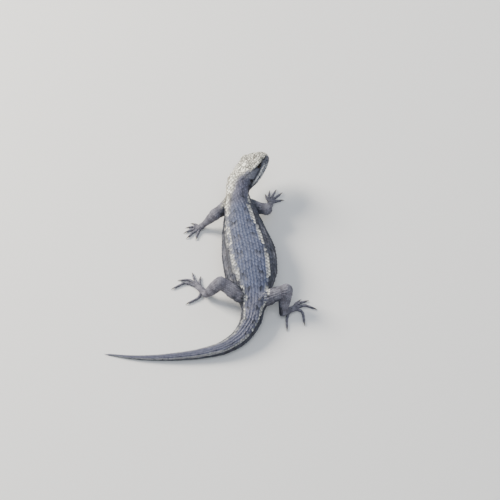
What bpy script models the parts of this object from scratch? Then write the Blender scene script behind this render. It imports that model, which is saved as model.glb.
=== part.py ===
"""Prairie lizard, a still life-size model of a gravid female at rest on level ground.

The model stands in its own frame: +Z is up, the trunk points roughly along +Y with the head turned to the
animal's right, the tail sweeps round to -X, and the floor is at Z 0. Sizes below are in millimetres.
"""

import math
from collections import namedtuple

import bmesh
import bpy
import numpy as np
from mathutils import Vector

MM = 0.001
GAP = 0.3  # clear space between nodes that meet

# The model's origin, the middle of its box on the floor, in the frame that the places below are given in.
ORIGIN = (-15.05, -3.85)

# Head: turned to the right of the trunk, its nose a little up and its right side rolled up.
SNOUT_TIP = np.array((6.5, 38.3, 13.2))
HEAD_YAW = math.radians(41.5)
HEAD_PITCH = math.radians(6.5)
HEAD_ROLL = math.radians(-27.0)
HEAD_SIZE = 1.06  # grows every size of the head below
HEAD_LENGTH = 15.4

# Profiles of the head, as distances back from the snout's tip against sizes from the line of the mouth.
HEAD_HALF_WIDTH = ((0, 0), (0.12, 1.0), (0.5, 1.85), (1.2, 2.65), (2.5, 3.5), (4, 4.3), (6, 5.1), (8, 5.75),
                   (10, 6.05), (12, 6.2), (13.2, 6.05), (14.5, 5.5), (16, 4.8))
CROWN_HEIGHT = ((0, 0), (0.12, 0.8), (0.5, 1.55), (1.2, 2.3), (2.5, 3.2), (4, 3.95), (6, 4.5), (8, 4.7),
                (10, 4.65), (12, 4.5), (14, 4.3), (16, 4.1))
JAW_DEPTH = ((0, 0), (0.12, 0.35), (0.5, 0.75), (1.2, 1.1), (2.5, 1.5), (4, 1.85), (6, 2.3), (8, 2.8),
             (10, 3.2), (12, 3.5), (14, 3.6), (16, 3.6))
CROWN_TAPER = ((0, 0.08), (3, 0.14), (7, 0.18), (11, 0.18), (14, 0.12), (16, 0.04))
CROWN_POWER = ((0, 2.2), (4, 2.9), (8, 3.1), (12, 2.5), (16, 2.2))
THROAT_POWER = 2.3
THROAT_TAPER = 0.14

BROW_RISE = 0.5
BROW_SPAN = (2.4, 9.8)
BROW_ANGLE = math.radians(50)
BROW_SPREAD = math.radians(13)
CROWN_DIP = 0.22
LIP_SWELL = 0.14
MOUTH_DEPTH = 0.42
MOUTH_END = 11.2
MOUTH_HALF_ANGLE = 0.03

EYE_BACK = 6.9  # from the snout's tip to the middle of the eye
EYE_OUT = 3.1
EYE_UP = 2.2
EYEBALL_RADIUS = 1.5
LID_RADIUS = 2.2
LID_SPREAD = 2.2
LID_OPENING = (1.25, 0.8)  # half length and half height
EYE_FORWARD = math.radians(8)
EYE_UPWARD = math.radians(14)

NOSTRIL_PLACE = (1.25, 1.45, 1.35)  # back, out, up
NOSTRIL_RADIUS = 0.36
EAR_PLACE = (12.9, 5.95, 0.6)
EAR_HALF_SIZE = (0.75, 0.7, 1.15)  # depth in, along the head, upright

# Body axis, from inside the head's rear to the tail's tip: the widest line of each section.
Station = namedtuple("Station", "x y z half_width rise drop")
NAPE = HEAD_LENGTH - 1.0  # the first station's distance back from the snout's tip, which sets its place
BODY = (
    Station(-4.0, 26.9, 11.5, 5.3, 4.6, 4.0),
    Station(-4.9, 21.5, 10.7, 4.5, 4.1, 3.8),
    Station(-4.5, 17.0, 9.4, 5.4, 4.2, 4.1),
    Station(-3.6, 13.0, 8.5, 6.8, 4.4, 4.7),
    Station(-2.1, 4.7, 7.4, 9.0, 5.0, 5.9),
    Station(-0.4, -4.1, 6.9, 10.6, 5.5, 7.0),
    Station(0.4, -11.6, 6.6, 10.3, 5.3, 6.75),
    Station(1.2, -18.2, 5.9, 7.5, 4.7, 6.0),
    Station(1.3, -24.4, 4.6, 4.9, 3.8, 4.7),
    Station(0.1, -31.4, 3.7, 3.9, 3.2, 3.8),
    Station(-3.3, -37.2, 3.0, 3.2, 2.75, 3.1),
    Station(-9.4, -41.6, 2.35, 2.5, 2.25, 2.5),
    Station(-17.6, -44.0, 1.8, 1.9, 1.75, 1.95),
    Station(-27.1, -45.2, 1.4, 1.5, 1.35, 1.55),
    Station(-35.6, -45.6, 1.05, 1.12, 1.0, 1.2),
    Station(-45.1, -45.2, 0.68, 0.74, 0.66, 0.82),
    Station(-54.2, -43.9, 0.32, 0.3, 0.28, 0.4),
)
BACK_POWER = 2.15
BELLY_POWER = 2.5
# Stations at which the body is parted into neck, torso and three lengths of tail.
PARTINGS = (0, 2, 8, 11, 14, 16)
BODY_NODES = ("neck", "torso", "tail_base", "tail_middle", "tail_tip")

# Limbs: joints of each leg, and the radii along each of its lengths.
THIGH_RADII = (2.4, 2.65, 2.55, 2.2)
SHIN_RADII = (2.05, 2.4, 2.1, 1.35)
UPPER_ARM_RADII = (2.3, 2.35, 2.2, 2.0)
FOREARM_RADII = (1.95, 1.9, 1.45, 1.05)
Limb = namedtuple("Limb", "side root bend end upper_radii lower_radii upper lower foot")
LIMBS = (
    Limb("left", (-6.6, 19.3, 8.8), (-13.5, 14.2, 7.4), (-18.6, 12.3, 1.85), UPPER_ARM_RADII, FOREARM_RADII,
         "upper_arm_left", "forearm_left", "hand_left"),
    Limb("right", (-2.6, 18.0, 8.8), (6.4, 16.4, 7.4), (7.8, 21.6, 1.85), UPPER_ARM_RADII, FOREARM_RADII,
         "upper_arm_right", "forearm_right", "hand_right"),
    Limb("left", (-1.2, -23.2, 5.9), (-11.4, -17.7, 9.6), (-16.7, -18.9, 2.5), THIGH_RADII, SHIN_RADII,
         "thigh_left", "shin_left", "foot_left"),
    Limb("right", (3.2, -23.9, 5.9), (14.1, -20.5, 8.7), (12.4, -27.0, 2.5), THIGH_RADII, SHIN_RADII,
         "thigh_right", "shin_right", "foot_right"),
)

# Feet: where the sole ends, and each toe's root, middle and tip on the floor, first toe first.
Foot = namedtuple("Foot", "ball half_width toes")
FEET = {
    "hand_left": Foot((-20.2, 11.7), 1.25, (
        ((-20.2, 12.4), (-21.2, 13.4), (-22.2, 13.8)),
        ((-20.5, 12.1), (-22.3, 12.5), (-24.1, 12.3)),
        ((-20.6, 11.7), (-22.8, 11.2), (-25.0, 10.2)),
        ((-20.4, 11.2), (-22.4, 9.9), (-24.1, 8.1)),
        ((-19.9, 10.8), (-20.6, 9.4), (-21.0, 7.7)))),
    "hand_right": Foot((8.3, 24.2), 1.25, (
        ((7.5, 24.2), (6.7, 25.5), (6.3, 26.7)),
        ((7.9, 24.5), (7.6, 26.5), (7.7, 28.3)),
        ((8.4, 24.5), (9.0, 26.7), (10.0, 28.8)),
        ((8.8, 24.3), (10.3, 26.1), (12.0, 27.6)),
        ((9.1, 23.7), (10.7, 24.4), (12.3, 24.7)))),
    "foot_left": Foot((-20.3, -14.6), 1.35, (
        ((-19.4, -14.3), (-19.6, -12.5), (-19.4, -10.9)),
        ((-19.9, -14.0), (-21.4, -11.6), (-22.2, -9.2)),
        ((-20.3, -13.9), (-23.5, -11.6), (-26.8, -11.6)),
        ((-20.5, -14.6), (-25.0, -12.9), (-29.4, -15.0)),
        ((-18.9, -17.1), (-20.1, -19.5), (-23.7, -21.6)))),
    "foot_right": Foot((17.4, -24.1), 1.35, (
        ((16.8, -23.6), (17.7, -22.0), (18.9, -20.8)),
        ((17.3, -23.5), (19.3, -21.7), (21.6, -20.9)),
        ((17.8, -23.8), (21.2, -22.8), (24.7, -24.0)),
        ((17.9, -24.4), (20.2, -25.9), (20.9, -30.4)),
        ((14.9, -25.9), (14.2, -28.9), (14.2, -32.6)))),
}
SOLE_THICKNESS = 0.85
TOE_RADII = (0.66, 0.54, 0.44)
TOE_HEIGHTS = (0.82, 0.54, 0.4)
CLAW_LENGTH = 1.25
CLAW_RADII = (0.36, 0.26, 0.06)
CLAW_HEIGHTS = (0.52, 0.42, 0.1)

# How finely each form is divided.
HEAD_RINGS = 27
HEAD_SIDE_STEPS = 11
BODY_SIDES = 28
BODY_RING_SPACING = 1.9
LIMB_SIDES = 12
LIMB_RINGS = 12
TOE_SIDES = 7

HIDE = (0.175, 0.165, 0.165, 1.0)
CROWN_HIDE = (0.36, 0.34, 0.28, 1.0)
LIMB_HIDE = (0.15, 0.13, 0.13, 1.0)
EYE_BROWN = (0.02, 0.012, 0.008, 1.0)


def unit(vector):
    """The vector at length one."""
    return np.asarray(vector, float) / np.linalg.norm(vector)


def eased(knots, at):
    """A curve through (place, value) knots that never overshoots them, read at the places asked for."""
    x = np.array([k[0] for k in knots], float)
    y = np.array([k[1] for k in knots], float)
    at = np.clip(np.asarray(at, float), x[0], x[-1])
    step = np.diff(x)
    slope = np.diff(y) / step
    tangent = np.concatenate(([slope[0]], np.zeros(len(x) - 2), [slope[-1]]))
    for i in range(1, len(x) - 1):
        if slope[i - 1] * slope[i] > 0:
            before, after = 2 * step[i] + step[i - 1], step[i] + 2 * step[i - 1]
            tangent[i] = (before + after) / (before / slope[i - 1] + after / slope[i])
    i = np.clip(np.searchsorted(x, at, side="right") - 1, 0, len(x) - 2)
    u = (at - x[i]) / step[i]
    return (y[i] * (1 + 2 * u) * (1 - u) ** 2 + tangent[i] * step[i] * u * (1 - u) ** 2
            + y[i + 1] * u * u * (3 - 2 * u) + tangent[i + 1] * step[i] * u * u * (u - 1))


def through(points, knots, at, start=None):
    """A smooth line through points at the given knots, with an optional direction at its start."""
    points = np.asarray(points, float)
    tangents = np.gradient(points, knots, axis=0)
    if start is not None:
        tangents[0] = start
    at = np.clip(np.asarray(at, float), knots[0], knots[-1])
    i = np.clip(np.searchsorted(knots, at, side="right") - 1, 0, len(knots) - 2)
    step = (knots[i + 1] - knots[i])[:, None]
    u = ((at - knots[i]) / step[:, 0])[:, None]
    return (points[i] * (1 + 2 * u) * (1 - u) ** 2 + tangents[i] * step * u * (1 - u) ** 2
            + points[i + 1] * u * u * (3 - 2 * u) + tangents[i + 1] * step * u * u * (u - 1))


def swell(at, start, end):
    """A smooth hump from 0 at start through 1 midway to 0 at end."""
    inside = np.clip((np.asarray(at, float) - start) / (end - start), 0, 1)
    return np.sin(np.pi * inside) ** 2


def fade(at, start, end):
    """Smoothly from 0 at start to 1 at end."""
    u = np.clip((np.asarray(at, float) - start) / (end - start), 0, 1)
    return u * u * (3 - 2 * u)


def egg(half_width, rise, drop, angle, top_power, bottom_power):
    """Sideways and upright places on a rounded section with its own roundness above and below."""
    c, s = np.cos(angle), np.sin(angle)
    power = np.where(s >= 0, top_power, bottom_power)
    height = np.where(s >= 0, rise, drop)
    return (half_width * np.sign(c) * np.abs(c) ** (2 / power),
            height * np.sign(s) * np.abs(s) ** (2 / power))


def head_axes():
    """The head's forward, left and up directions."""
    forward = np.array((math.sin(HEAD_YAW) * math.cos(HEAD_PITCH),
                        math.cos(HEAD_YAW) * math.cos(HEAD_PITCH), math.sin(HEAD_PITCH)))
    left = unit(np.cross((0, 0, 1), forward))
    upward = np.cross(forward, left)
    cos, sin = math.cos(HEAD_ROLL), math.sin(HEAD_ROLL)
    return forward, left * cos + upward * sin, upward * cos - left * sin


def head_place(back, out, up):
    """World place of a point given by its distances back from the snout's tip, left of the middle and up."""
    forward, left, upward = head_axes()
    away = np.multiply.outer(out, left) + np.multiply.outer(up, upward) - np.multiply.outer(back, forward)
    return SNOUT_TIP + HEAD_SIZE * away


def eye_axes(side):
    """The eye's outward, forward and up directions in the head's (back, out, up), for side 1 or -1."""
    outward = unit((-math.sin(EYE_FORWARD), side * math.cos(EYE_FORWARD) * math.cos(EYE_UPWARD),
                    math.sin(EYE_UPWARD)))
    upward = unit(np.array((0, 0, 1)) - outward * outward[2])
    return outward, np.cross(outward, upward) * side, upward


def over_eyes(points):
    """Raises the skin of the head over each eyeball, as a pair of closed lids would."""
    for side in (1, -1):
        outward, along, upward = eye_axes(side)
        middle = np.array((EYE_BACK, side * EYE_OUT, EYE_UP))
        away = points - middle
        height = away @ outward
        across = np.hypot((away @ along) / 1.12, away @ upward)
        dome = np.sqrt(np.clip(LID_RADIUS ** 2 - np.minimum(across, LID_RADIUS) ** 2, 0, None))
        share = 1.0 * (height > 0)
        points = points + (share * np.maximum(dome - height, 0))[..., None] * outward
    return points


def head_shape(back, angle):
    """Places on the head's skin in its own (back, out, up), before its openings are cut."""
    half_width = eased(HEAD_HALF_WIDTH, back)
    rise = eased(CROWN_HEIGHT, back)
    drop = eased(JAW_DEPTH, back)
    out, up = egg(half_width, rise, drop, angle, eased(CROWN_POWER, back), THROAT_POWER)
    share = up / np.maximum(rise, 1e-6)
    out = out * (1 - eased(CROWN_TAPER, back) * np.clip(share, 0, 1))
    out = out * (1 - THROAT_TAPER * np.clip(-up / np.maximum(drop, 1e-6), 0, 1) ** 2)
    folded = np.arcsin(np.clip(np.abs(np.sin(angle)), 0, 1)) * np.sign(np.sin(angle))
    brow = BROW_RISE * swell(back, *BROW_SPAN) * np.exp(-((folded - BROW_ANGLE) / BROW_SPREAD) ** 2)
    side = np.sign(np.cos(angle))
    out = out + side * brow
    up = up + 0.5 * brow
    up = up - CROWN_DIP * swell(back, 2.0, 9.0) * np.exp(-(out / 1.1) ** 2) * (up > 0)
    along_lips = fade(back, 0.5, 2) * (1 - fade(back, 9.5, MOUTH_END + 1))
    lips = LIP_SWELL * along_lips * np.exp(-((np.abs(up) - 0.55) / 0.4) ** 2)
    out = out + side * lips
    points = over_eyes(np.stack((back, out, up), axis=-1))
    groove = MOUTH_DEPTH * (1 - fade(back, MOUTH_END - 1, MOUTH_END)) * fade(back, 0, 0.3)
    inside = groove * np.exp(-(angle_from_side(angle) / (0.6 * MOUTH_HALF_ANGLE)) ** 2)
    points[..., 1] -= side * inside
    return points


def angle_from_side(angle):
    """How far a section angle is from the line of the mouth, on either side."""
    return np.abs(np.arctan2(np.sin(angle), np.abs(np.cos(angle))))


def head_angles():
    """Section angles of the head, with three lines close together along the mouth."""
    side = MOUTH_HALF_ANGLE + (math.pi / 2 - MOUTH_HALF_ANGLE) * np.linspace(0, 1, HEAD_SIDE_STEPS) ** 0.9
    quarter = np.concatenate(([0.0], side))
    half = np.concatenate((quarter, np.pi - quarter[-2::-1]))
    return np.concatenate((half, 2 * np.pi - half[-2:0:-1]))


def ring_mesh(name, rings, tip_first=None, tip_last=None):
    """A closed mesh object skinned over rings of points, its ends closed by a face or drawn to a tip."""
    mesh = bmesh.new()
    loops = [[mesh.verts.new(Vector(p)) for p in ring] for ring in rings]
    count = len(loops[0])
    for a, b in zip(loops, loops[1:]):
        for i in range(count):
            j = (i + 1) % count
            mesh.faces.new((a[i], a[j], b[j], b[i]))
    for loop, tip, turn in ((loops[0], tip_first, -1), (loops[-1], tip_last, 1)):
        if tip is None:
            mesh.faces.new(loop[::turn])
            continue
        end = mesh.verts.new(Vector(tip))
        for i in range(count):
            mesh.faces.new((loop[i], loop[(i + 1) % count], end)[::turn])
    bmesh.ops.recalc_face_normals(mesh, faces=mesh.faces)
    if mesh.calc_volume(signed=True) < 0:
        bmesh.ops.reverse_faces(mesh, faces=mesh.faces)
    bmesh.ops.triangulate(mesh, faces=mesh.faces)
    data = bpy.data.meshes.new(name)
    mesh.to_mesh(data)
    mesh.free()
    made = bpy.data.objects.new(name, data)
    bpy.context.scene.collection.objects.link(made)
    return made


def placed(points):
    """Millimetres in the sketching frame to metres in the model's own frame."""
    return (np.asarray(points, float) - (ORIGIN[0], ORIGIN[1], 0)) * MM


def make_head():
    """The head without its openings, drawn to the snout's tip and closed at the nape."""
    back = HEAD_LENGTH * np.linspace(0, 1, HEAD_RINGS + 1)[1:] ** 1.45
    angle = head_angles()
    shape = head_shape(*np.meshgrid(back, angle, indexing="ij"))
    rings = placed(head_place(*np.moveaxis(shape, -1, 0)))
    return ring_mesh("head", rings, tip_first=placed(SNOUT_TIP))


def ball(name, middle, radii, axes, rings=9, sides=18):
    """A closed egg of the given radii along three axes, sized with the head."""
    radii = np.array(radii) * HEAD_SIZE
    polar = np.pi * np.arange(1, rings) / rings
    turn = 2 * np.pi * np.arange(sides) / sides
    p, a = np.meshgrid(polar, turn, indexing="ij")
    local = np.stack((radii[0] * np.cos(p), radii[1] * np.sin(p) * np.cos(a), radii[2] * np.sin(p) * np.sin(a)), -1)
    axes = np.array(axes)
    poles = [placed(middle + axes[0] * radii[0] * end) for end in (1, -1)]
    return ring_mesh(name, placed(middle + local @ axes), tip_first=poles[0], tip_last=poles[1])


def turned(directions):
    """Directions given in the head's (back, out, up) turned into world directions."""
    forward, left, upward = head_axes()
    return [d[0] * -forward + d[1] * left + d[2] * upward for d in directions]


def make_eye(side, name):
    """The eyeball, its socket and the almond that is cut from the lids over it."""
    middle = head_place(EYE_BACK, side * EYE_OUT, EYE_UP)
    outward, along, upward = turned(eye_axes(side))
    eyeball = ball(name, middle, (EYEBALL_RADIUS,) * 3, (outward, along, upward), 10, 20)
    socket = ball(name + "_socket", middle, (EYEBALL_RADIUS + GAP / HEAD_SIZE,) * 3, (outward, along, upward))
    turn = 2 * np.pi * np.arange(16) / 16
    almond = [np.sign(np.cos(turn)) * np.abs(np.cos(turn)) ** 0.9 * LID_OPENING[0],
              np.sin(turn) * np.abs(np.sin(turn)) ** 0.25 * LID_OPENING[1]]
    outline = HEAD_SIZE * (np.outer(almond[0], along) + np.outer(almond[1], upward))
    opening = ring_mesh(name + "_opening", [placed(middle + outline + outward * reach) for reach in (0.6, 4.0)])
    return eyeball, (socket, opening)


def head_pits():
    """Cutters for the nostrils and the ears' openings."""
    forward, left, upward = head_axes()
    pits = []
    for side, word in ((1, "left"), (-1, "right")):
        axes = (left * side, -forward, upward)
        back, out, up = NOSTRIL_PLACE
        pits.append(ball("nostril_" + word, head_place(back, side * out, up), (NOSTRIL_RADIUS,) * 3, axes, 4, 8))
        back, out, up = EAR_PLACE
        pits.append(ball("ear_" + word, head_place(back, side * out, up), EAR_HALF_SIZE, axes, 6, 12))
    return pits


def body_line():
    """The body axis: its knots, and a reader of the places, frames and sizes along it."""
    points = np.array([s[:3] for s in BODY])
    points[0] = head_place(NAPE, 0, 0)
    knots = np.concatenate(([0], np.cumsum(np.linalg.norm(np.diff(points, axis=0), axis=1))))
    sizes = [tuple(zip(knots, values)) for values in zip(*(s[3:] for s in BODY))]

    def read(at, grow=0.0):
        """Rings of the body at places along its axis, each size grown by a margin."""
        at = np.asarray(at, float)
        start = -head_axes()[0]
        middle = through(points, knots, at, start)
        tangent = through(points, knots, at + 0.05, start) - through(points, knots, at - 0.05, start)
        tangent /= np.linalg.norm(tangent, axis=1)[:, None]
        side = np.cross((0, 0, 1), tangent)
        side /= np.linalg.norm(side, axis=1)[:, None]
        upward = np.cross(tangent, side)
        angle = 2 * np.pi * np.arange(BODY_SIDES) / BODY_SIDES
        roll = -HEAD_ROLL * (1 - fade(at, knots[0], knots[3]))[:, None, None]
        side, upward = (side[:, None] * np.cos(roll) + upward[:, None] * np.sin(roll),
                        upward[:, None] * np.cos(roll) - side[:, None] * np.sin(roll))
        half_width, rise, drop = (eased(size, at)[:, None] + grow for size in sizes)
        out, up = egg(half_width, rise, drop, angle[None, :], BACK_POWER, BELLY_POWER)
        return middle[:, None] + out[..., None] * side + up[..., None] * upward

    return knots, read


def make_body(knots, read):
    """The neck, torso and lengths of tail, as parts of one smooth form with a gap where they meet."""
    nodes = []
    for name, first, last in zip(BODY_NODES, PARTINGS, PARTINGS[1:]):
        start = knots[first] + (0 if first == 0 else GAP / 2)
        end = knots[last] - (0 if last == len(BODY) - 1 else GAP / 2)
        spacing = BODY_RING_SPACING * (1 if name in ("neck", "torso") else 1.3)
        at = np.linspace(start, end, max(4, round((end - start) / spacing)))
        rings = placed(read(at))
        tip = None
        if last == len(BODY) - 1:
            tip = rings[-1].mean(0) + 0.7 * (rings[-1].mean(0) - rings[-2].mean(0))
        nodes.append(ring_mesh(name, rings, tip_last=tip))
    return nodes


def capsule(name, start, end, radii, grow=0.0, sides=LIMB_SIDES, rings=LIMB_RINGS):
    """A muscled length of limb with round ends, its radii spread evenly along it."""
    start, end = np.array(start, float), np.array(end, float)
    length = np.linalg.norm(end - start)
    tangent = (end - start) / length
    side = unit(np.cross((0, 0, 1), tangent))
    upward = np.cross(tangent, side)
    first, last = radii[0] + grow, radii[-1] + grow
    at = -first * np.cos(np.pi * np.linspace(0, 1, rings + 2)[1:-1])
    at = np.interp(at, (-first, 0, first), (-first, length / 2, length + last))
    knots = tuple(zip(np.linspace(0, length, len(radii)), radii))
    radius = eased(knots, np.clip(at, 0, length)) + grow
    over = np.where(at < 0, -at / first, np.where(at > length, (at - length) / last, 0))
    radius = radius * np.sqrt(np.clip(1 - over ** 2, 0.02, 1))
    angle = 2 * np.pi * np.arange(sides) / sides
    around = np.cos(angle)[:, None] * side + np.sin(angle)[:, None] * upward
    shape = start + at[:, None, None] * tangent + radius[:, None, None] * around
    return ring_mesh(name, placed(shape), tip_first=placed(start - tangent * first),
                     tip_last=placed(end + tangent * last))


def tube(name, middles, radii, sides, squash=1.0):
    """A closed tube round a line of points, of given radii and wider than it is high by squash."""
    middles = np.array(middles, float)
    tangent = np.gradient(middles, axis=0)
    tangent /= np.linalg.norm(tangent, axis=1)[:, None]
    side = np.cross((0, 0, 1), tangent)
    side /= np.linalg.norm(side, axis=1)[:, None]
    upward = np.cross(tangent, side)
    angle = 2 * np.pi * (np.arange(sides) + 0.5) / sides
    radii = np.asarray(radii, float)[:, None, None]
    shape = (middles[:, None] + np.cos(angle)[None, :, None] * side[:, None] * radii * squash
             + np.sin(angle)[None, :, None] * upward[:, None] * radii)
    return ring_mesh(name, placed(shape))


def make_toe(name, places):
    """One toe with its claw, bent through its root, middle and tip."""
    path = np.array([(*place, height) for place, height in zip(places, TOE_HEIGHTS)])
    knots = np.array((0.0, 1.0, 2.0))
    at = np.linspace(0, 2, 6)
    line = through(path, knots, at)
    radii = np.interp(at, knots, TOE_RADII)
    onward = unit(line[-1] - line[-2])
    claw = [line[-1] + onward * CLAW_LENGTH * share for share in (0.08, 0.5, 1.0)]
    for point, height in zip(claw, CLAW_HEIGHTS):
        point[2] = height
    return tube(name, np.vstack((line, claw)), np.concatenate((radii, CLAW_RADII)), TOE_SIDES)


def make_foot(name, ankle):
    """The pieces of a foot: its sole, from the ankle to the ball, and its five clawed toes."""
    foot = FEET[name]
    ankle = np.array(ankle, float)
    ball_end = np.array((*foot.ball, SOLE_THICKNESS))
    onward = unit(ball_end - ankle)
    line = [ankle - onward * 0.6, ankle, (ankle + ball_end) / 2, ball_end, ball_end + onward * 0.7]
    line[-1][2] = SOLE_THICKNESS * 0.8
    thickness = (0.65, 1.0, 0.95, 0.85, 0.45)
    sole = tube(name, line, thickness, 12, foot.half_width)
    toes = [make_toe(f"{name}_toe_{i + 1}", places) for i, places in enumerate(foot.toes)]
    return sole, toes


def hidden(*cutters):
    """Marks helpers that shape a node and aren't part of the model."""
    for cutter in cutters:
        cutter.hide_render = True
        cutter.display_type = "WIRE"


def carve(target, operation, others):
    """Joins the other objects to the target, or cuts them from it, and removes them."""
    group = bpy.data.collections.new(target.name + "_" + operation.lower())
    bpy.context.scene.collection.children.link(group)
    hidden(*others)
    for other in others:
        group.objects.link(other)
    modifier = target.modifiers.new(operation.title(), "BOOLEAN")
    modifier.operation = operation
    modifier.operand_type = "COLLECTION"
    modifier.collection = group
    modifier.solver = "EXACT"
    graph = bpy.context.evaluated_depsgraph_get()
    shaped = bpy.data.meshes.new_from_object(target.evaluated_get(graph))
    target.modifiers.clear()
    target.data = shaped
    for other in others:
        bpy.data.objects.remove(other)
    bpy.data.collections.remove(group)


def keep_largest(target):
    """Leaves only the largest closed surface of the target, as triangles."""
    mesh = bmesh.new()
    mesh.from_mesh(target.data)
    bmesh.ops.remove_doubles(mesh, verts=mesh.verts, dist=2e-6)
    bmesh.ops.dissolve_degenerate(mesh, dist=2e-6, edges=mesh.edges)
    bmesh.ops.triangulate(mesh, faces=mesh.faces)
    islands, seen = [], set()
    for first in mesh.verts:
        if first in seen:
            continue
        island, queue = [], [first]
        seen.add(first)
        while queue:
            vert = queue.pop()
            island.append(vert)
            for edge in vert.link_edges:
                other = edge.other_vert(vert)
                if other not in seen:
                    seen.add(other)
                    queue.append(other)
        islands.append(island)
    largest = max(islands, key=len)
    loose = [vert for island in islands if island is not largest for vert in island]
    bmesh.ops.delete(mesh, geom=loose, context="VERTS")
    mesh.to_mesh(target.data)
    mesh.free()


def nape_block(name):
    """A block that ends one gap behind the head's rear face, to cut the neck's front flat."""
    reach = 9.0
    corners = [(-reach, -reach), (reach, -reach), (reach, reach), (-reach, reach)]
    backs = (HEAD_LENGTH + GAP / HEAD_SIZE, HEAD_LENGTH - 5.0)
    return ring_mesh(name, [placed([head_place(back, out, up) for out, up in corners]) for back in backs])


def floor_slab(name):
    """A thick slab under the floor, to cut the resting flats."""
    reach, depth = 90.0, 6.0
    corners = [(-reach, -reach), (reach, -reach), (reach, reach), (-reach, reach)]
    return ring_mesh(name, [placed([(x, y, z) for x, y in corners]) for z in (-depth, 0.0)])


def make_limb(limb, trunk):
    """One leg: its upper and lower lengths and its foot, each cut clear of what it grows from."""
    upper = capsule(limb.upper, limb.root, limb.bend, limb.upper_radii)
    lower = capsule(limb.lower, limb.bend, limb.end, limb.lower_radii)
    foot, toes = make_foot(limb.foot, limb.end)
    carve(foot, "UNION", toes)
    carve(upper, "DIFFERENCE", [trunk(GAP)])
    carve(lower, "DIFFERENCE", [capsule("joint", limb.root, limb.bend, limb.upper_radii, GAP)])
    carve(foot, "DIFFERENCE", [capsule("joint", limb.bend, limb.end, limb.lower_radii, GAP), floor_slab("floor")])
    return [upper, lower, foot]


def hide_material(name, colour, roughness):
    """A plain skin or eye material."""
    material = bpy.data.materials.new(name)
    material.use_nodes = True
    shader = material.node_tree.nodes["Principled BSDF"]
    shader.inputs["Base Color"].default_value = colour
    shader.inputs["Roughness"].default_value = roughness
    shader.inputs["Metallic"].default_value = 0.0
    return material


def dress(nodes, material):
    """Gives each node its material and smooth shading."""
    for node in nodes:
        node.data.materials.clear()
        node.data.materials.append(material)
        node.data.shade_smooth()
        node.data.set_sharp_from_angle(angle=math.radians(50))


def main():
    """Builds the lizard."""
    for old in list(bpy.data.objects):
        bpy.data.objects.remove(old)

    knots, read = body_line()

    def trunk(grow):
        """The neck and torso as one form, grown by a margin."""
        at = np.linspace(knots[0], knots[9], 30)
        return ring_mesh("trunk", placed(read(at, grow)))

    head = make_head()
    cutters = head_pits()
    eyes = []
    for side, name in ((1, "eye_left"), (-1, "eye_right")):
        eyeball, pair = make_eye(side, name)
        eyes.append(eyeball)
        cutters.extend(pair)
    carve(head, "DIFFERENCE", cutters)

    body = make_body(knots, read)
    carve(body[0], "DIFFERENCE", [nape_block("nape")])
    for node in body[1:]:
        carve(node, "DIFFERENCE", [floor_slab("floor")])

    limbs = [node for limb in LIMBS for node in make_limb(limb, trunk)]
    for node in [head, *body, *limbs]:
        keep_largest(node)

    dress([head], hide_material("crown_hide", CROWN_HIDE, 0.6))
    dress(body, hide_material("back_hide", HIDE, 0.62))
    dress(limbs, hide_material("limb_hide", LIMB_HIDE, 0.65))
    dress(eyes, hide_material("eye", EYE_BROWN, 0.12))


main()
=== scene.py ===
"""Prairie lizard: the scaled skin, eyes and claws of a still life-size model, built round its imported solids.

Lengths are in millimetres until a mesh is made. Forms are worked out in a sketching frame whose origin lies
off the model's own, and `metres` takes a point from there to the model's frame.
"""

import logging
import math
from dataclasses import dataclass, field, fields
from enum import Enum

import bmesh
import bpy
import numpy as np
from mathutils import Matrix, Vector, noise
from mathutils.bvhtree import BVHTree
from mathutils.kdtree import KDTree


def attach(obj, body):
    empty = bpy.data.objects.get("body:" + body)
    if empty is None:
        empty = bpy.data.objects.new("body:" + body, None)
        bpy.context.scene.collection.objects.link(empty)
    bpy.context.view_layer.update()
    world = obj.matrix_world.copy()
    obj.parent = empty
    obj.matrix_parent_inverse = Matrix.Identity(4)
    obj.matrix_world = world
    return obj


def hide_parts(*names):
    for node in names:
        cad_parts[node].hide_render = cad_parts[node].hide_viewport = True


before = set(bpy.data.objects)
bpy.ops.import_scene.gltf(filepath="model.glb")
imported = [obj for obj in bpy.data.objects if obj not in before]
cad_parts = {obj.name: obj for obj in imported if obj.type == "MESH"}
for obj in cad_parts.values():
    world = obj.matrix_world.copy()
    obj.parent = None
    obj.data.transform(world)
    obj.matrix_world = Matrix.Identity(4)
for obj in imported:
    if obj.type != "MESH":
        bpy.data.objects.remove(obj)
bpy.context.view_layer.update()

log = logging.getLogger("lizard")

Array = np.ndarray
Axes = tuple[Array, Array, Array, Array]
Mesh = bpy.types.Mesh
Material = bpy.types.Material
Piece = bpy.types.Object
Socket = bpy.types.NodeSocket

MM = 0.001
SKETCH_ORIGIN = np.array((-15.05, -3.85, 0.0))
UP = np.array((0.0, 0.0, 1.0))
SEED = 5
BAKE_PATCH = 0.003
BAKE_MAP = "OFBake"
VENT_AT = 68.5  # the vent's distance from the snout
PLATES_TO = 14.5  # how far back the head's plates and openings reach
FAR = 99.0  # stands for out of reach
SIDES = (1, -1)  # left, right


# Numbers and curves


def metres(points: Array) -> Array:
    """Sketching millimetres to metres in the model's frame."""
    return (np.asarray(points, float) - SKETCH_ORIGIN) * MM


def unit(vectors: Array) -> Array:
    """Vectors at length one, along their last axis."""
    vectors = np.asarray(vectors, float)
    return vectors / np.maximum(np.linalg.norm(vectors, axis=-1, keepdims=True), 1e-12)


def along_surface(ways: Array, out: Array) -> Array:
    """Directions laid flat against a surface that faces out."""
    return unit(ways - (ways * out).sum(1)[:, None] * out)


def distances(line: Array) -> Array:
    """How far along a line each of its points lies."""
    return np.concatenate(([0], np.cumsum(np.linalg.norm(np.diff(line, axis=0), axis=1))))


def keep(form: object, **values: object) -> None:
    """Stores what a frozen form works out once."""
    for name, value in values.items():
        object.__setattr__(form, name, value)


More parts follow.
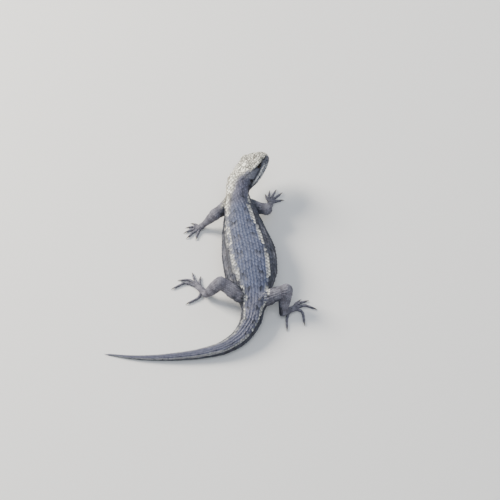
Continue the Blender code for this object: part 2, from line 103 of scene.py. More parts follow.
def fade(at: Array, start: float, end: float) -> Array:
    """Smoothly from 0 at start to 1 at end."""
    u = np.clip((np.asarray(at, float) - start) / (end - start), 0, 1)
    return u * u * (3 - 2 * u)


def between(at: Array, start: float, full: float, still: float, end: float) -> Array:
    """Smoothly from 0 at start to 1 at full, and from there at still back to 0 at end."""
    return fade(at, start, full) * (1 - fade(at, still, end))


def swell(at: Array, start: float, end: float) -> Array:
    """A smooth hump from 0 at start through 1 midway to 0 at end."""
    return np.sin(np.pi * np.clip((np.asarray(at, float) - start) / (end - start), 0, 1)) ** 2


def bell(at: Array, middle: float, width: float) -> Array:
    """A rounded peak of 1 at the middle."""
    return np.exp(-((np.asarray(at, float) - middle) / width) ** 2)


def cubic(knots: Array, values: Array, slopes: Array, at: Array) -> Array:
    """Reads a smooth curve.

    Args:
        knots: the places of its points.
        values: numbers or vectors there.
        slopes: how fast they change there.
        at: the places to read.

    Returns:
        The values at those places.
    """
    i = np.clip(np.searchsorted(knots, at, side="right") - 1, 0, len(knots) - 2)
    step = knots[i + 1] - knots[i]
    u = (at - knots[i]) / step
    if values.ndim > 1:
        step, u = step[:, None], u[:, None]
    return (values[i] * (1 + 2 * u) * (1 - u) ** 2 + slopes[i] * step * u * (1 - u) ** 2
            + values[i + 1] * u * u * (3 - 2 * u) + slopes[i + 1] * step * u * u * (u - 1))


def eased(knots: tuple, at: Array) -> Array:
    """Reads a curve through (place, value) knots that never overshoots them.

    Args:
        knots: pairs of a place and the value there, in order.
        at: the places to read.

    Returns:
        The values at those places.
    """
    x, y = (np.array(column, float) for column in zip(*knots))
    step = np.diff(x)
    slope = np.diff(y) / step
    tangent = np.concatenate(([slope[0]], np.zeros(len(x) - 2), [slope[-1]]))
    for i in range(1, len(x) - 1):
        if slope[i - 1] * slope[i] > 0:
            before, after = 2 * step[i] + step[i - 1], step[i] + 2 * step[i - 1]
            tangent[i] = (before + after) / (before / slope[i - 1] + after / slope[i])
    return cubic(x, y, tangent, np.clip(np.asarray(at, float), x[0], x[-1]))


def through(points: Array, knots: Array, at: Array, start: Array | None = None) -> Array:
    """Reads a smooth line through points.

    Args:
        points: the points the line passes.
        knots: each point's place along the line.
        at: the places to read, a flat array.
        start: the direction the line sets out in, if it is given.

    Returns:
        One point for each place.
    """
    tangents = np.gradient(points, knots, axis=0)
    if start is not None:
        tangents[0] = start
    return cubic(knots, points, tangents, np.clip(at, knots[0], knots[-1]))


def signed_power(base: Array, power: Array) -> Array:
    """A power of the size of a number that keeps its sign."""
    return np.sign(base) * np.abs(base) ** power


def mottle(points: Array, size: float, seed: float) -> Array:
    """Reads smooth noise.

    Args:
        points: where to read it.
        size: about how wide its patches are.
        seed: which noise.

    Returns:
        Values from -1 to 1.
    """
    flat = points.reshape(-1, 3) / size + seed * 17.3
    values = np.fromiter((noise.noise(Vector(p)) for p in flat), float, len(flat))
    return values.reshape(points.shape[:-1])


def srgb(red: int, green: int, blue: int) -> Array:
    """A screen colour, 0 to 255, as linear light."""
    c = np.array((red, green, blue)) / 255
    return np.where(c <= 0.04045, c / 12.92, ((c + 0.055) / 1.055) ** 2.4)


def lerp(a: Array, b: Array, share: Array) -> Array:
    """Mixes colours a and b by a share for each row."""
    return a + (b - a) * np.asarray(share)[..., None]


def tree_of(points: Array) -> KDTree:
    """Makes a search tree.

    Args:
        points: the points it finds.

    Returns:
        The tree.
    """
    tree = KDTree(len(points))
    for i, point in enumerate(points):
        tree.insert(Vector(point), i)
    tree.balance()
    return tree


def crowded(count: int) -> Array:
    """Shares from 0 to 1, closer together at both ends."""
    return 0.5 - 0.5 * np.cos(np.pi * np.linspace(0, 1, count))


def nearest_in(tree: KDTree, points: Array) -> tuple[Array, Array]:
    """Which of a tree's points is nearest to each point, and how far."""
    found = [tree.find(Vector(p))[1:] for p in points]
    return tuple(np.array(column) for column in zip(*found))


# Forms


@dataclass(frozen=True)
class Head:
    """The head's own frame and its skin, matching the solids' head."""

    snout: tuple = (6.5, 38.3, 13.2)
    yaw: float = math.radians(41.5)
    pitch: float = math.radians(6.5)
    roll: float = math.radians(-27.0)
    size: float = 1.06
    nape: float = 14.4
    half_width: tuple = ((0, 0), (0.12, 1.0), (0.5, 1.85), (1.2, 2.65), (2.5, 3.5), (4, 4.3), (6, 5.1),
                         (8, 5.75), (10, 6.05), (12, 6.2), (13.2, 6.05), (14.5, 5.5), (16, 4.8))
    crown: tuple = ((0, 0), (0.12, 0.8), (0.5, 1.55), (1.2, 2.3), (2.5, 3.2), (4, 3.95), (6, 4.5), (8, 4.7),
                    (10, 4.65), (12, 4.5), (14, 4.3), (16, 4.1))
    jaw: tuple = ((0, 0), (0.12, 0.35), (0.5, 0.75), (1.2, 1.1), (2.5, 1.5), (4, 1.85), (6, 2.3), (8, 2.8),
                  (10, 3.2), (12, 3.5), (14, 3.6), (16, 3.6))
    crown_taper: tuple = ((0, 0.08), (3, 0.14), (7, 0.18), (11, 0.18), (14, 0.12), (16, 0.04))
    crown_power: tuple = ((0, 2.2), (4, 2.9), (8, 3.1), (12, 2.5), (16, 2.2))
    throat_power: float = 2.3
    throat_taper: float = 0.14
    brow_rise: float = 0.5
    brow_span: tuple = (2.4, 9.8)
    brow_angle: float = math.radians(50)
    brow_spread: float = math.radians(13)
    crown_dip: float = 0.22
    lip_swell: float = 0.16
    mouth_depth: float = 0.5
    mouth_end: float = 11.2
    mouth_half: float = 0.13
    eye_back: float = 6.9
    eye_out: float = 3.1
    eye_up: float = 2.2
    eyeball: float = 1.5
    lid_radius: float = 2.2
    lid_margin: float = 1.74
    lid_opening: tuple = (1.06, 0.66)
    eye_forward: float = math.radians(8)
    eye_upward: float = math.radians(14)
    eye_stretch: float = 1.12  # how much longer than high the lids' dome is
    nostril: tuple = (1.3, 1.5, 0.3, 0.24)  # back, up, half length, half height
    ear: tuple = (12.9, 0.6, 0.7, 1.15)  # the same
    ear_out: float = 5.95
    nostril_depth: float = 0.5
    ear_depth: float = 0.75
    inward: tuple = (0.6, -1.0, -0.25)  # back, out and up, the way a nostril runs
    # painted shade in the mouth's line, the nostrils, the ears' cups and the sockets
    opening_dark: tuple = (36, 30, 30)

    def axes(self) -> tuple[Array, Array, Array]:
        """Works out how the head is turned.

        Returns:
            Its forward, left and up directions.
        """
        level = math.cos(self.pitch)
        forward = np.array((math.sin(self.yaw) * level, math.cos(self.yaw) * level, math.sin(self.pitch)))
        left = unit(np.cross(UP, forward))
        upward = np.cross(forward, left)
        cos, sin = math.cos(self.roll), math.sin(self.roll)
        return forward, left * cos + upward * sin, upward * cos - left * sin

    def place(self, local: Array) -> Array:
        """Takes places out of the head's frame.

        Args:
            local: places as (back, out, up) from the snout's tip.

        Returns:
            The points.
        """
        forward, left, upward = self.axes()
        local = np.asarray(local, float)
        away = local[..., 1:2] * left + local[..., 2:3] * upward - local[..., 0:1] * forward
        return np.array(self.snout) + self.size * away

    def local(self, points: Array) -> Array:
        """Takes points into the head's frame.

        Args:
            points: the points.

        Returns:
            Them as (back, out, up) from the snout's tip.
        """
        forward, left, upward = self.axes()
        away = (np.asarray(points, float) - np.array(self.snout)) / self.size
        return np.stack((-(away @ forward), away @ left, away @ upward), axis=-1)

    def turned(self, local: Array) -> Array:
        """A direction given in (back, out, up) as a direction of the sketching frame."""
        forward, left, upward = self.axes()
        return local[0] * -forward + local[1] * left + local[2] * upward

    def eye_axes(self, side: int) -> tuple[Array, Array, Array]:
        """Works out how an eye is turned.

        Args:
            side: 1 for the left eye, -1 for the right.

        Returns:
            Its outward, forward and up directions in (back, out, up).
        """
        level = math.cos(self.eye_forward) * math.cos(self.eye_upward)
        outward = unit(np.array((-math.sin(self.eye_forward), side * level, math.sin(self.eye_upward))))
        upward = unit(UP - outward * outward[2])
        return outward, np.cross(outward, upward) * side, upward

    def eye_middle(self, side: int) -> Array:
        """The middle of an eyeball in (back, out, up)."""
        return np.array((self.eye_back, side * self.eye_out, self.eye_up))

    def from_eye(self, points: Array, side: int) -> tuple[Array, Array, Array]:
        """How far places in (back, out, up) lie outward, forward and up from the middle of an eyeball."""
        away = points - self.eye_middle(side)
        return tuple(away @ way for way in self.eye_axes(side))

    def lid_size(self, ring: Array) -> Array:
        """Radius of the lids' dome at a ring round their opening."""
        return self.lid_margin + (self.lid_radius - self.lid_margin) * fade(ring, 0.95, 1.75)

    def over_eyes(self, points: Array) -> Array:
        """Raises the skin over each eyeball as lids whose margins turn in towards the ball.

        Args:
            points: places on the skin in (back, out, up).

        Returns:
            The places, moved.
        """
        for side in SIDES:
            height, along, up = self.from_eye(points, side)
            across = np.hypot(along / self.eye_stretch, up)
            ring = np.hypot(along / self.lid_opening[0], up / self.lid_opening[1])
            radius = self.lid_size(ring) - 0.5 * (1 - fade(ring, 0.93, 1.03))
            dome = np.sqrt(np.clip(radius ** 2 - np.minimum(across, radius) ** 2, 0, None))
            inner = 1 - fade(ring, 1.35, 1.75)
            target = dome * inner + np.maximum(dome, height) * (1 - inner)
            points = points + ((height > 0) * (target - height))[..., None] * self.eye_axes(side)[0]
        return points

    def skin(self, back: Array, turn: Array, plain: bool = False) -> Array:
        """Places on the head's skin in (back, out, up).

        Args:
            back: distances behind the snout's tip.
            turn: angles round the head from the middle of the crown, positive to the left.
            plain: whether to leave out the lids, lips, mouth and pits.

        Returns:
            The places, one for each pair.
        """
        angle = np.pi / 2 - turn
        c, s = np.cos(angle), np.sin(angle)
        top = s >= 0
        power = np.where(top, eased(self.crown_power, back), self.throat_power)
        rise, drop = eased(self.crown, back), eased(self.jaw, back)
        out = eased(self.half_width, back) * signed_power(c, 2 / power)
        up = np.where(top, rise, drop) * signed_power(s, 2 / power)
        out = out * (1 - eased(self.crown_taper, back) * np.clip(up / np.maximum(rise, 1e-6), 0, 1))
        out = out * (1 - self.throat_taper * np.clip(-up / np.maximum(drop, 1e-6), 0, 1) ** 2)
        side = np.sign(c)
        folded = np.arcsin(np.clip(s, -1, 1))
        brow = self.brow_rise * swell(back, *self.brow_span) * bell(folded, self.brow_angle, self.brow_spread)
        out = out + side * brow
        up = up + 0.5 * brow
        up = up - self.crown_dip * swell(back, 2.0, 9.0) * bell(out, 0, 1.1) * (up > 0)
        if plain:
            return np.stack((back, out, up), axis=-1)
        lips = between(back, 0.5, 2, 9.5, self.mouth_end + 1) * bell(np.abs(up), 0.55, 0.4)
        out = out + side * self.lip_swell * lips
        points = self.over_eyes(np.stack((back, out, up), axis=-1))
        groove = self.mouth_depth * between(back, 0, 0.3, self.mouth_end - 1, self.mouth_end)
        points[..., 1] -= side * groove * bell(points[..., 2], 0, self.mouth_half)
        points[..., 2] += groove * 0.5 * bell(points[..., 2], 0, self.mouth_half) * np.sign(points[..., 2])
        return self.with_pits(points)

    def with_pits(self, points: Array) -> Array:
        """Sinks the nostrils and the ears' cups into the skin.

        Args:
            points: places on the skin in (back, out, up).

        Returns:
            The places, moved.
        """
        for side in SIDES:
            inward = unit(np.array(self.inward) * (1, side, 1))
            sunk = self.nostril_depth * (1 - fade(self.pit_ring(points, side, self.nostril), 0.45, 1.2))
            points = points + sunk[..., None] * inward
            cup = 1 - fade(self.pit_ring(points, side, self.ear), 0.5, 1.15)
            points[..., 1] -= side * self.ear_depth * cup
        return points

    def pit_ring(self, points: Array, side: int, pit: tuple) -> Array:
        """How far places in (back, out, up) lie from the middle of a nostril or an ear, 1 being its rim."""
        ring = np.hypot((points[..., 0] - pit[0]) / pit[2], (points[..., 2] - pit[1]) / pit[3])
        return np.where(side * points[..., 1] > 0.5, ring, FAR)

    def eye_ring(self, points: Array, side: int) -> Array:
        """How far places in (back, out, up) lie from the middle of the lids' opening, 1 being its edge."""
        height, along, up = self.from_eye(points, side)
        return np.where(height > 0, np.hypot(along / self.lid_opening[0], up / self.lid_opening[1]), FAR)

    def openings_darkened(self, points: Array, shades: Array) -> Array:
        """Darkens the line of the mouth, the nostrils, the ears' cups and the sockets with painted shade.

        Args:
            points: points on the skin.
            shades: their colours.

        Returns:
            The colours, changed.
        """
        local = self.local(points)
        dark = srgb(*self.opening_dark)
        line = 1 - fade(local[:, 0], self.mouth_end - 0.6, self.mouth_end + 0.2)
        shades = lerp(shades, dark, 0.85 * line * bell(local[:, 2], 0, 0.11))
        for side in SIDES:
            ring = self.pit_ring(local, side, self.nostril)
            shades = lerp(shades, dark, 0.95 * (1 - fade(ring, 0.6, 1.25)))
            shades = lerp(shades, dark, 0.85 * (1 - fade(self.pit_ring(local, side, self.ear), 0.45, 0.95)))
            shades = lerp(shades, dark, 0.9 * (1 - fade(self.eye_ring(local, side), 0.92, 1.12)))
        return shades


@dataclass(frozen=True)
class Trunk:
    """The whole body from snout to tail's tip as one skin, read by distance and by turn from the midline."""

    head: Head = field(default_factory=Head)
    # Place of the middle, half width, rise and drop of each section, from the nape to the tail.
    stations: tuple = (
        (-4.0, 26.9, 11.5, 5.3, 4.6, 4.0), (-4.9, 21.5, 10.7, 4.5, 4.1, 3.8),
        (-4.5, 17.0, 9.4, 5.4, 4.2, 4.1), (-3.6, 13.0, 8.5, 6.8, 4.4, 4.7),
        (-2.1, 4.7, 7.4, 9.0, 5.0, 5.9), (-0.4, -4.1, 6.9, 10.6, 5.5, 7.0),
        (0.4, -11.6, 6.6, 10.3, 5.3, 6.75), (1.2, -18.2, 5.9, 7.5, 4.7, 6.0),
        (1.3, -24.4, 4.6, 4.9, 3.8, 4.7), (0.1, -31.4, 3.7, 3.9, 3.2, 3.8),
        (-3.3, -37.2, 3.0, 3.2, 2.75, 3.1), (-9.4, -41.6, 2.35, 2.5, 2.25, 2.5),
        (-17.6, -44.0, 1.8, 1.9, 1.75, 1.95), (-27.1, -45.2, 1.4, 1.5, 1.35, 1.55),
        (-35.6, -45.6, 1.05, 1.12, 1.0, 1.2), (-45.1, -45.2, 0.68, 0.74, 0.66, 0.82),
        (-54.2, -43.9, 0.32, 0.3, 0.28, 0.4))
    back_power: float = 2.15
    belly_power: float = 2.5
    blend: float = 3.2  # length over which the head's skin passes into the neck's
    inset: float = 0.12  # depth of the coat under the solids' surface
    point: float = 1.8  # length of the tail's point past its last ring
    arc_steps: int = 361
    probes: int = 330  # places along the body that a distance is measured from
    batch: int = 20000

    def __post_init__(self) -> None:
        """Works out the axis once."""
        points = np.array([s[:3] for s in self.stations])
        points[0] = self.head.place(np.array((self.head.nape, 0.0, 0.0)))
        knots = distances(points)
        nape_at = self.head.nape * self.head.size
        keep(self, points=points, knots=knots, nape_at=nape_at, length=nape_at + knots[-1],
             sizes=[tuple(zip(knots, values)) for values in zip(*(s[3:] for s in self.stations))])

    def axis(self, s: Array) -> Axes:
        """Reads the body's line.

        Args:
            s: distances from the snout's tip, a flat array.

        Returns:
            The middle, backward, left and up directions there.
        """
        forward = self.head.axes()[0]
        at = s - self.nape_at
        middle, after, before = (through(self.points, self.knots, at + x, -forward) for x in (0, 0.05, -0.05))
        middle = middle - np.minimum(at, 0)[:, None] * forward
        back = unit(np.where((at < 0.05)[:, None], -forward, after - before))
        level = unit(np.cross(UP, -back))
        upright = np.cross(-back, level)
        roll = (self.head.roll * (1 - fade(at, 0, self.knots[3])))[:, None]
        cos, sin = np.cos(roll), np.sin(roll)
        return middle, back, level * cos + upright * sin, upright * cos - level * sin

    def section(self, s: Array) -> tuple[Array, Array, Array]:
        """Half width, rise and drop of the body's section at distances from the snout's tip."""
        return tuple(eased(size, s - self.nape_at) for size in self.sizes)

    def form(self, s: Array, turn: Array, plain: bool = False) -> Array:
        """Reads the solids' surface.

        Args:
            s: distances from the snout's tip, a flat array.
            turn: angles round from the midline of the back, positive to the left.
            plain: whether to leave out the head's small features.

        Returns:
            A point for each pair.
        """
        middle, _, left, upward = self.axis(s)
        half_width, rise, drop = self.section(s)
        c, v = np.sin(turn), np.cos(turn)
        power = np.where(v >= 0, self.back_power, self.belly_power)
        out = half_width * signed_power(c, 2 / power)
        up = np.where(v >= 0, rise, drop) * signed_power(v, 2 / power)
        body = middle + out[:, None] * left + up[:, None] * upward
        on_head = s < self.nape_at
        if on_head.any():
            share = fade(s[on_head], self.nape_at - self.blend, self.nape_at)[:, None]
            skin = self.head.place(self.head.skin(s[on_head] / self.head.size, turn[on_head], plain))
            body[on_head] = skin * (1 - share) + body[on_head] * share
        return body

    def normals(self, s: Array, turn: Array, reach: float = 0.12) -> Array:
        """Works out which way the solids' surface faces.

        Args:
            s: distances from the snout's tip.
            turn: angles round from the midline of the back.
            reach: how far round each place to look.

        Returns:
            Its outward directions.
        """
        step = reach / np.maximum(self.section(np.maximum(s, self.nape_at))[0], 0.4)
        along = self.form(s + reach, turn) - self.form(np.maximum(s - reach, 0.01), turn)
        around = self.form(s, turn + step) - self.form(s, turn - step)
        return unit(np.cross(around, along))

    def distance(self, points: Array) -> Array:
        """Measures from the body's surface.

        Args:
            points: the points.

        Returns:
            About how far they lie outside it, negative inside.
        """
        s = np.linspace(0.4, self.length, self.probes)
        middle, _, left, upward = self.axis(s)
        half_width, rise, drop = self.section(s)
        result = np.empty(len(points))
        for start in range(0, len(points), self.batch):
            part = points[start:start + self.batch]
            i = (np.linalg.norm(part[:, None] - middle[None], axis=2) / np.maximum(half_width, 1)).argmin(1)
            offset = part - middle[i]
            out, up = (offset * left[i]).sum(1), (offset * upward[i]).sum(1)
            power = np.where(up >= 0, self.back_power, self.belly_power)
            height = np.where(up >= 0, rise[i], drop[i])
            level = (np.abs(out / half_width[i]) ** power + np.abs(up / height) ** power) ** (1 / power)
            away = (level - 1) * np.linalg.norm(offset, axis=1) / np.maximum(level, 1e-6)
            result[start:start + self.batch] = away
        return result

    def quarters(self) -> Array:
        """Spreads turns from the top to underneath, closer together where the sections bend most.

        Returns:
            The turns.
        """
        q = np.linspace(0, 1, self.arc_steps // 2 + 1)
        quarter = np.pi / 2 * q * q * (3 - 2 * q)
        return np.concatenate((quarter, np.pi / 2 + quarter[1:]))

    def arcs(self, s: float) -> tuple[Array, Array]:
        """Turns down one side of a ring, with their distances round from the midline of the back."""
        turn = self.quarters()
        return turn, distances(self.form(np.full(len(turn), s), turn, plain=True))

    def unwrapped(self, s: Array, turn: Array) -> Array:
        """Places on the unwrap of the skin, whose lower part belongs to the legs."""
        return np.stack((0.01 + 0.97 * s / self.length, 0.46 + 0.52 * (turn / (2 * np.pi) + 0.5)), 1)


class Part:
    """A length of leg, a sole or a toe: sections along a line, read by distance and by turn from the top.

    Each kind sets its `span`, and `even`, the stretch whose girth spaces its rows of scales.
    """

    breadth: float = 1.0  # a section's width, as a share of its height

    def middle(self, at: Array) -> Array:
        """Points of its middle line."""
        return np.stack([np.interp(at, self.knots, self.line[:, i]) for i in range(3)], -1)

    def girth(self, at: float) -> float:
        """Radius that the scales' rows are spaced for."""
        return float(self.radius(np.array(np.clip(at, *self.even)))) * (1 + self.breadth) / 2

    def form(self, at: Array, turn: Array) -> Array:
        """Reads its surface.

        Args:
            at: distances along it.
            turn: angles round from its top.

        Returns:
            A point for each pair.
        """
        middle, _, left, upward = self.axis(at)
        around = self.breadth * np.sin(turn)[:, None] * left + np.cos(turn)[:, None] * upward
        return middle + self.radius(at)[:, None] * around


@dataclass(frozen=True)
class LimbLength(Part):
    """One length of a leg: a muscled form with round ends."""

    name: str
    start: tuple
    end: tuple
    radii: tuple
    inset: float = 0.1
    band: float = 0.42

    def __post_init__(self) -> None:
        """Works out its directions and sizes once."""
        along = unit(np.subtract(self.end, self.start))
        across = unit(np.cross(UP, along))
        span = float(np.linalg.norm(np.subtract(self.end, self.start)))
        keep(self, span=span, even=(0, span), ways=(along, across, np.cross(along, across)),
             sizes=tuple(zip(np.linspace(0, span, len(self.radii)), self.radii)))

    def axis(self, at: Array) -> Axes:
        """The middle, onward, left and up directions at distances along the limb."""
        along, across, upward = (np.broadcast_to(way, (len(at), 3)) for way in self.ways)
        return np.array(self.start) + at[:, None] * along, along, across, upward

    def outward(self, at: Array, turn: Array) -> Array:
        """Outward directions of the limb's surface."""
        return unit(self.form(at, turn) - self.axis(np.clip(at, 0, self.span))[0])

    def radius(self, at: Array) -> Array:
        """Reads the limb's thickness.

        Args:
            at: distances along it, also past its ends.

        Returns:
            The radius there, rounded off past the ends.
        """
        past = np.where(at > self.span, (at - self.span) / self.radii[-1], 0)
        over = np.where(at < 0, -at / self.radii[0], past)
        return eased(self.sizes, np.clip(at, 0, self.span)) * np.sqrt(np.clip(1 - over ** 2, 0, 1))

    def distance(self, points: Array) -> Array:
        """Measures from the limb's surface.

        Args:
            points: the points.

        Returns:
            How far they lie outside it, negative inside.
        """
        offset = points - np.array(self.start)
        at = np.clip(offset @ self.ways[0], 0, self.span)
        return np.linalg.norm(offset - at[:, None] * self.ways[0], axis=1) - eased(self.sizes, at)


@dataclass(frozen=True)
class Digit(Part):
    """One toe: a jointed tube on the floor that ends at the root of its claw."""

    name: str
    places: tuple
    radii: tuple = (0.66, 0.54, 0.44)
    heights: tuple = (0.82, 0.54, 0.4)
    knuckles: int = 3
    inset: float = 0.05
    band: float = 0.3

    def __post_init__(self) -> None:
        """Works out its line once."""
        path = np.array([(*p, h) for p, h in zip(self.places, self.heights)])
        line = through(path, np.array((0.0, 1.0, 2.0)), np.linspace(0, 2, 41))
        knots = distances(line)
        span = float(knots[-1])
        keep(self, line=line, knots=knots, span=span, even=(0, 0.85 * span))

    def axis(self, at: Array) -> Axes:
        """Reads the toe's line.

        Args:
            at: distances along the toe.

        Returns:
            The middle, onward, left and up directions there.
        """
        onward = unit(self.middle(at + 0.15) - self.middle(at - 0.15))
        left = unit(np.cross(UP, onward))
        return self.middle(at), onward, left, np.cross(onward, left)

    def radius(self, at: Array) -> Array:
        """Reads the toe's thickness.

        Args:
            at: distances along it.

        Returns:
            The radius there, a little larger at its joints and rounded off at its tip.
        """
        share = np.clip(at / self.span, 0, 1)
        bumps = 1 + 0.07 * np.cos(2 * np.pi * self.knuckles * share)
        tip = np.sqrt(np.clip(1 - np.clip((share - 0.9) / 0.11, 0, 1) ** 2 * 0.75, 0, 1))
        return np.interp(share, (0, 0.5, 1), self.radii) * bumps * tip

    def outward(self, at: Array, turn: Array) -> Array:
        """Works out which way the toe's surface faces.

        Args:
            at: distances along it.
            turn: angles round from its top.

        Returns:
            Its outward directions, which lean onward over the tip.
        """
        _, onward, left, upward = self.axis(at)
        over = fade(at / self.span, 0.9, 1.0)[:, None]
        around = np.sin(turn)[:, None] * left + np.cos(turn)[:, None] * upward
        return unit(around * (1 - over) + over * onward)

    def distance(self, points: Array) -> Array:
        """Measures from the toe's surface.

        Args:
            points: the points.

        Returns:
            About how far they lie outside it, negative inside.
        """
        away = np.linalg.norm(points[:, None] - self.line[None, ::4], axis=2)
        i = away.argmin(1)
        return away[np.arange(len(points)), i] - self.radius(self.knots[::4])[i]


@dataclass(frozen=True)
class Sole(Part):
    """The flat of a hand or foot, from wrist or ankle to the toes' roots."""

    name: str
    wrist: tuple
    ball: tuple
    breadth: float
    thickness: tuple = (0.65, 1.0, 0.95, 0.85, 0.45)
    height: float = 0.85
    round_off: float = 0.5
    inset: float = 0.06
    band: float = 0.5

    def __post_init__(self) -> None:
        """Works out its line once."""
        wrist, ball = np.array(self.wrist, float), np.array((*self.ball, self.height))
        onward = unit(ball - wrist)
        line = np.array([wrist - onward * 0.6, wrist, (wrist + ball) / 2, ball, ball + onward * 0.7])
        line[-1][2] = self.height * 0.8
        knots = distances(line)
        span = float(knots[-1])
        keep(self, line=line, knots=knots, span=span, even=(0.5, span - 0.8), onward=unit(line[-2] - line[1]))

    def axis(self, at: Array) -> Axes:
        """Reads the sole's line.

        Args:
            at: distances along the sole.

        Returns:
            The middle, onward, left and up directions there.
        """
        onward = np.broadcast_to(self.onward, (len(at), 3))
        left = unit(np.cross(UP, onward))
        return self.middle(at), onward, left, np.cross(onward, left)

    def radius(self, at: Array) -> Array:
        """Half thickness along the sole, closed off at both ends."""
        ends = np.clip(np.minimum(at, self.span - at) / self.round_off, 0, 1)
        return np.interp(at, self.knots, self.thickness) * np.sqrt(np.clip(1 - (1 - ends) ** 2, 0, 1))

    def outward(self, at: Array, turn: Array) -> Array:
        """Works out which way the sole's surface faces.

        Args:
            at: distances along it.
            turn: angles round from its top.

        Returns:
            Its outward directions, which lean on and back over its ends.
        """
        _, onward, left, upward = self.axis(at)
        after, before = (np.clip(1 - x / self.round_off, 0, 1) for x in (self.span - at, at))
        end = (after - before)[:, None]
        around = np.sin(turn)[:, None] / self.breadth * left + np.cos(turn)[:, None] * upward
        return unit(around * (1 - np.abs(end)) + end * onward)

    def distance(self, points: Array) -> Array:
        """Measures from the sole's surface.

        Args:
            points: the points.

        Returns:
            About how far they lie outside it, negative inside.
        """
        at = np.clip((points - self.line[0]) @ self.onward, 0, self.span)
        middle, _, left, upward = self.axis(at)
        offset = points - middle
        radius = np.maximum(self.radius(at), 0.05)
        out, up = (offset * left).sum(1), (offset * upward).sum(1)
        level = np.hypot(out / (radius * self.breadth), up / radius)
        return (level - 1) * radius + np.abs((offset * self.onward).sum(1))


@dataclass(frozen=True)
class Leg:
    """One leg as it was sketched."""

    nodes: tuple  # the solids of its upper length, its lower length and its hand or foot
    joints: tuple  # its root, its bend and its wrist or ankle
    ball: tuple  # where its middle toe begins, in plan
    toes: tuple  # each toe's root, middle and tip, in plan, the first toe first
    radii: tuple  # of its two lengths
    breadth: float  # of its sole
    knuckles: tuple = (2, 3, 4, 5, 4)


# Radii along the upper and the lower length of a leg, and the breadth of its sole.
ARM = ((2.3, 2.35, 2.2, 2.0), (1.95, 1.9, 1.45, 1.05)), 1.25
HIND = ((2.4, 2.65, 2.55, 2.2), (2.05, 2.4, 2.1, 1.35)), 1.35
LEGS = (
    Leg(("upper_arm_left", "forearm_left", "hand_left"),
        ((-6.6, 19.3, 8.8), (-13.5, 14.2, 7.4), (-18.6, 12.3, 1.85)), (-20.2, 11.7), (
            ((-20.2, 12.4), (-21.2, 13.4), (-22.2, 13.8)), ((-20.5, 12.1), (-22.3, 12.5), (-24.1, 12.3)),
            ((-20.6, 11.7), (-22.8, 11.2), (-25.0, 10.2)), ((-20.4, 11.2), (-22.4, 9.9), (-24.1, 8.1)),
            ((-19.9, 10.8), (-20.6, 9.4), (-21.0, 7.7))), *ARM),
    Leg(("upper_arm_right", "forearm_right", "hand_right"),
        ((-2.6, 18.0, 8.8), (6.4, 16.4, 7.4), (7.8, 21.6, 1.85)), (8.3, 24.2), (
            ((7.5, 24.2), (6.7, 25.5), (6.3, 26.7)), ((7.9, 24.5), (7.6, 26.5), (7.7, 28.3)),
            ((8.4, 24.5), (9.0, 26.7), (10.0, 28.8)), ((8.8, 24.3), (10.3, 26.1), (12.0, 27.6)),
            ((9.1, 23.7), (10.7, 24.4), (12.3, 24.7))), *ARM),
    Leg(("thigh_left", "shin_left", "foot_left"),
        ((-1.2, -23.2, 5.9), (-11.4, -17.7, 9.6), (-16.7, -18.9, 2.5)), (-20.3, -14.6), (
            ((-19.4, -14.3), (-19.6, -12.5), (-19.4, -10.9)), ((-19.9, -14.0), (-21.4, -11.6), (-22.2, -9.2)),
            ((-20.3, -13.9), (-23.5, -11.6), (-26.8, -11.6)),
            ((-20.5, -14.6), (-25.0, -12.9), (-29.4, -15.0)),
            ((-18.9, -17.1), (-20.1, -19.5), (-23.7, -21.6))), *HIND),
    Leg(("thigh_right", "shin_right", "foot_right"),
        ((3.2, -23.9, 5.9), (14.1, -20.5, 8.7), (12.4, -27.0, 2.5)), (17.4, -24.1), (
            ((16.8, -23.6), (17.7, -22.0), (18.9, -20.8)), ((17.3, -23.5), (19.3, -21.7), (21.6, -20.9)),
            ((17.8, -23.8), (21.2, -22.8), (24.7, -24.0)), ((17.9, -24.4), (20.2, -25.9), (20.9, -30.4)),
            ((14.9, -25.9), (14.2, -28.9), (14.2, -32.6))), *HIND),
)


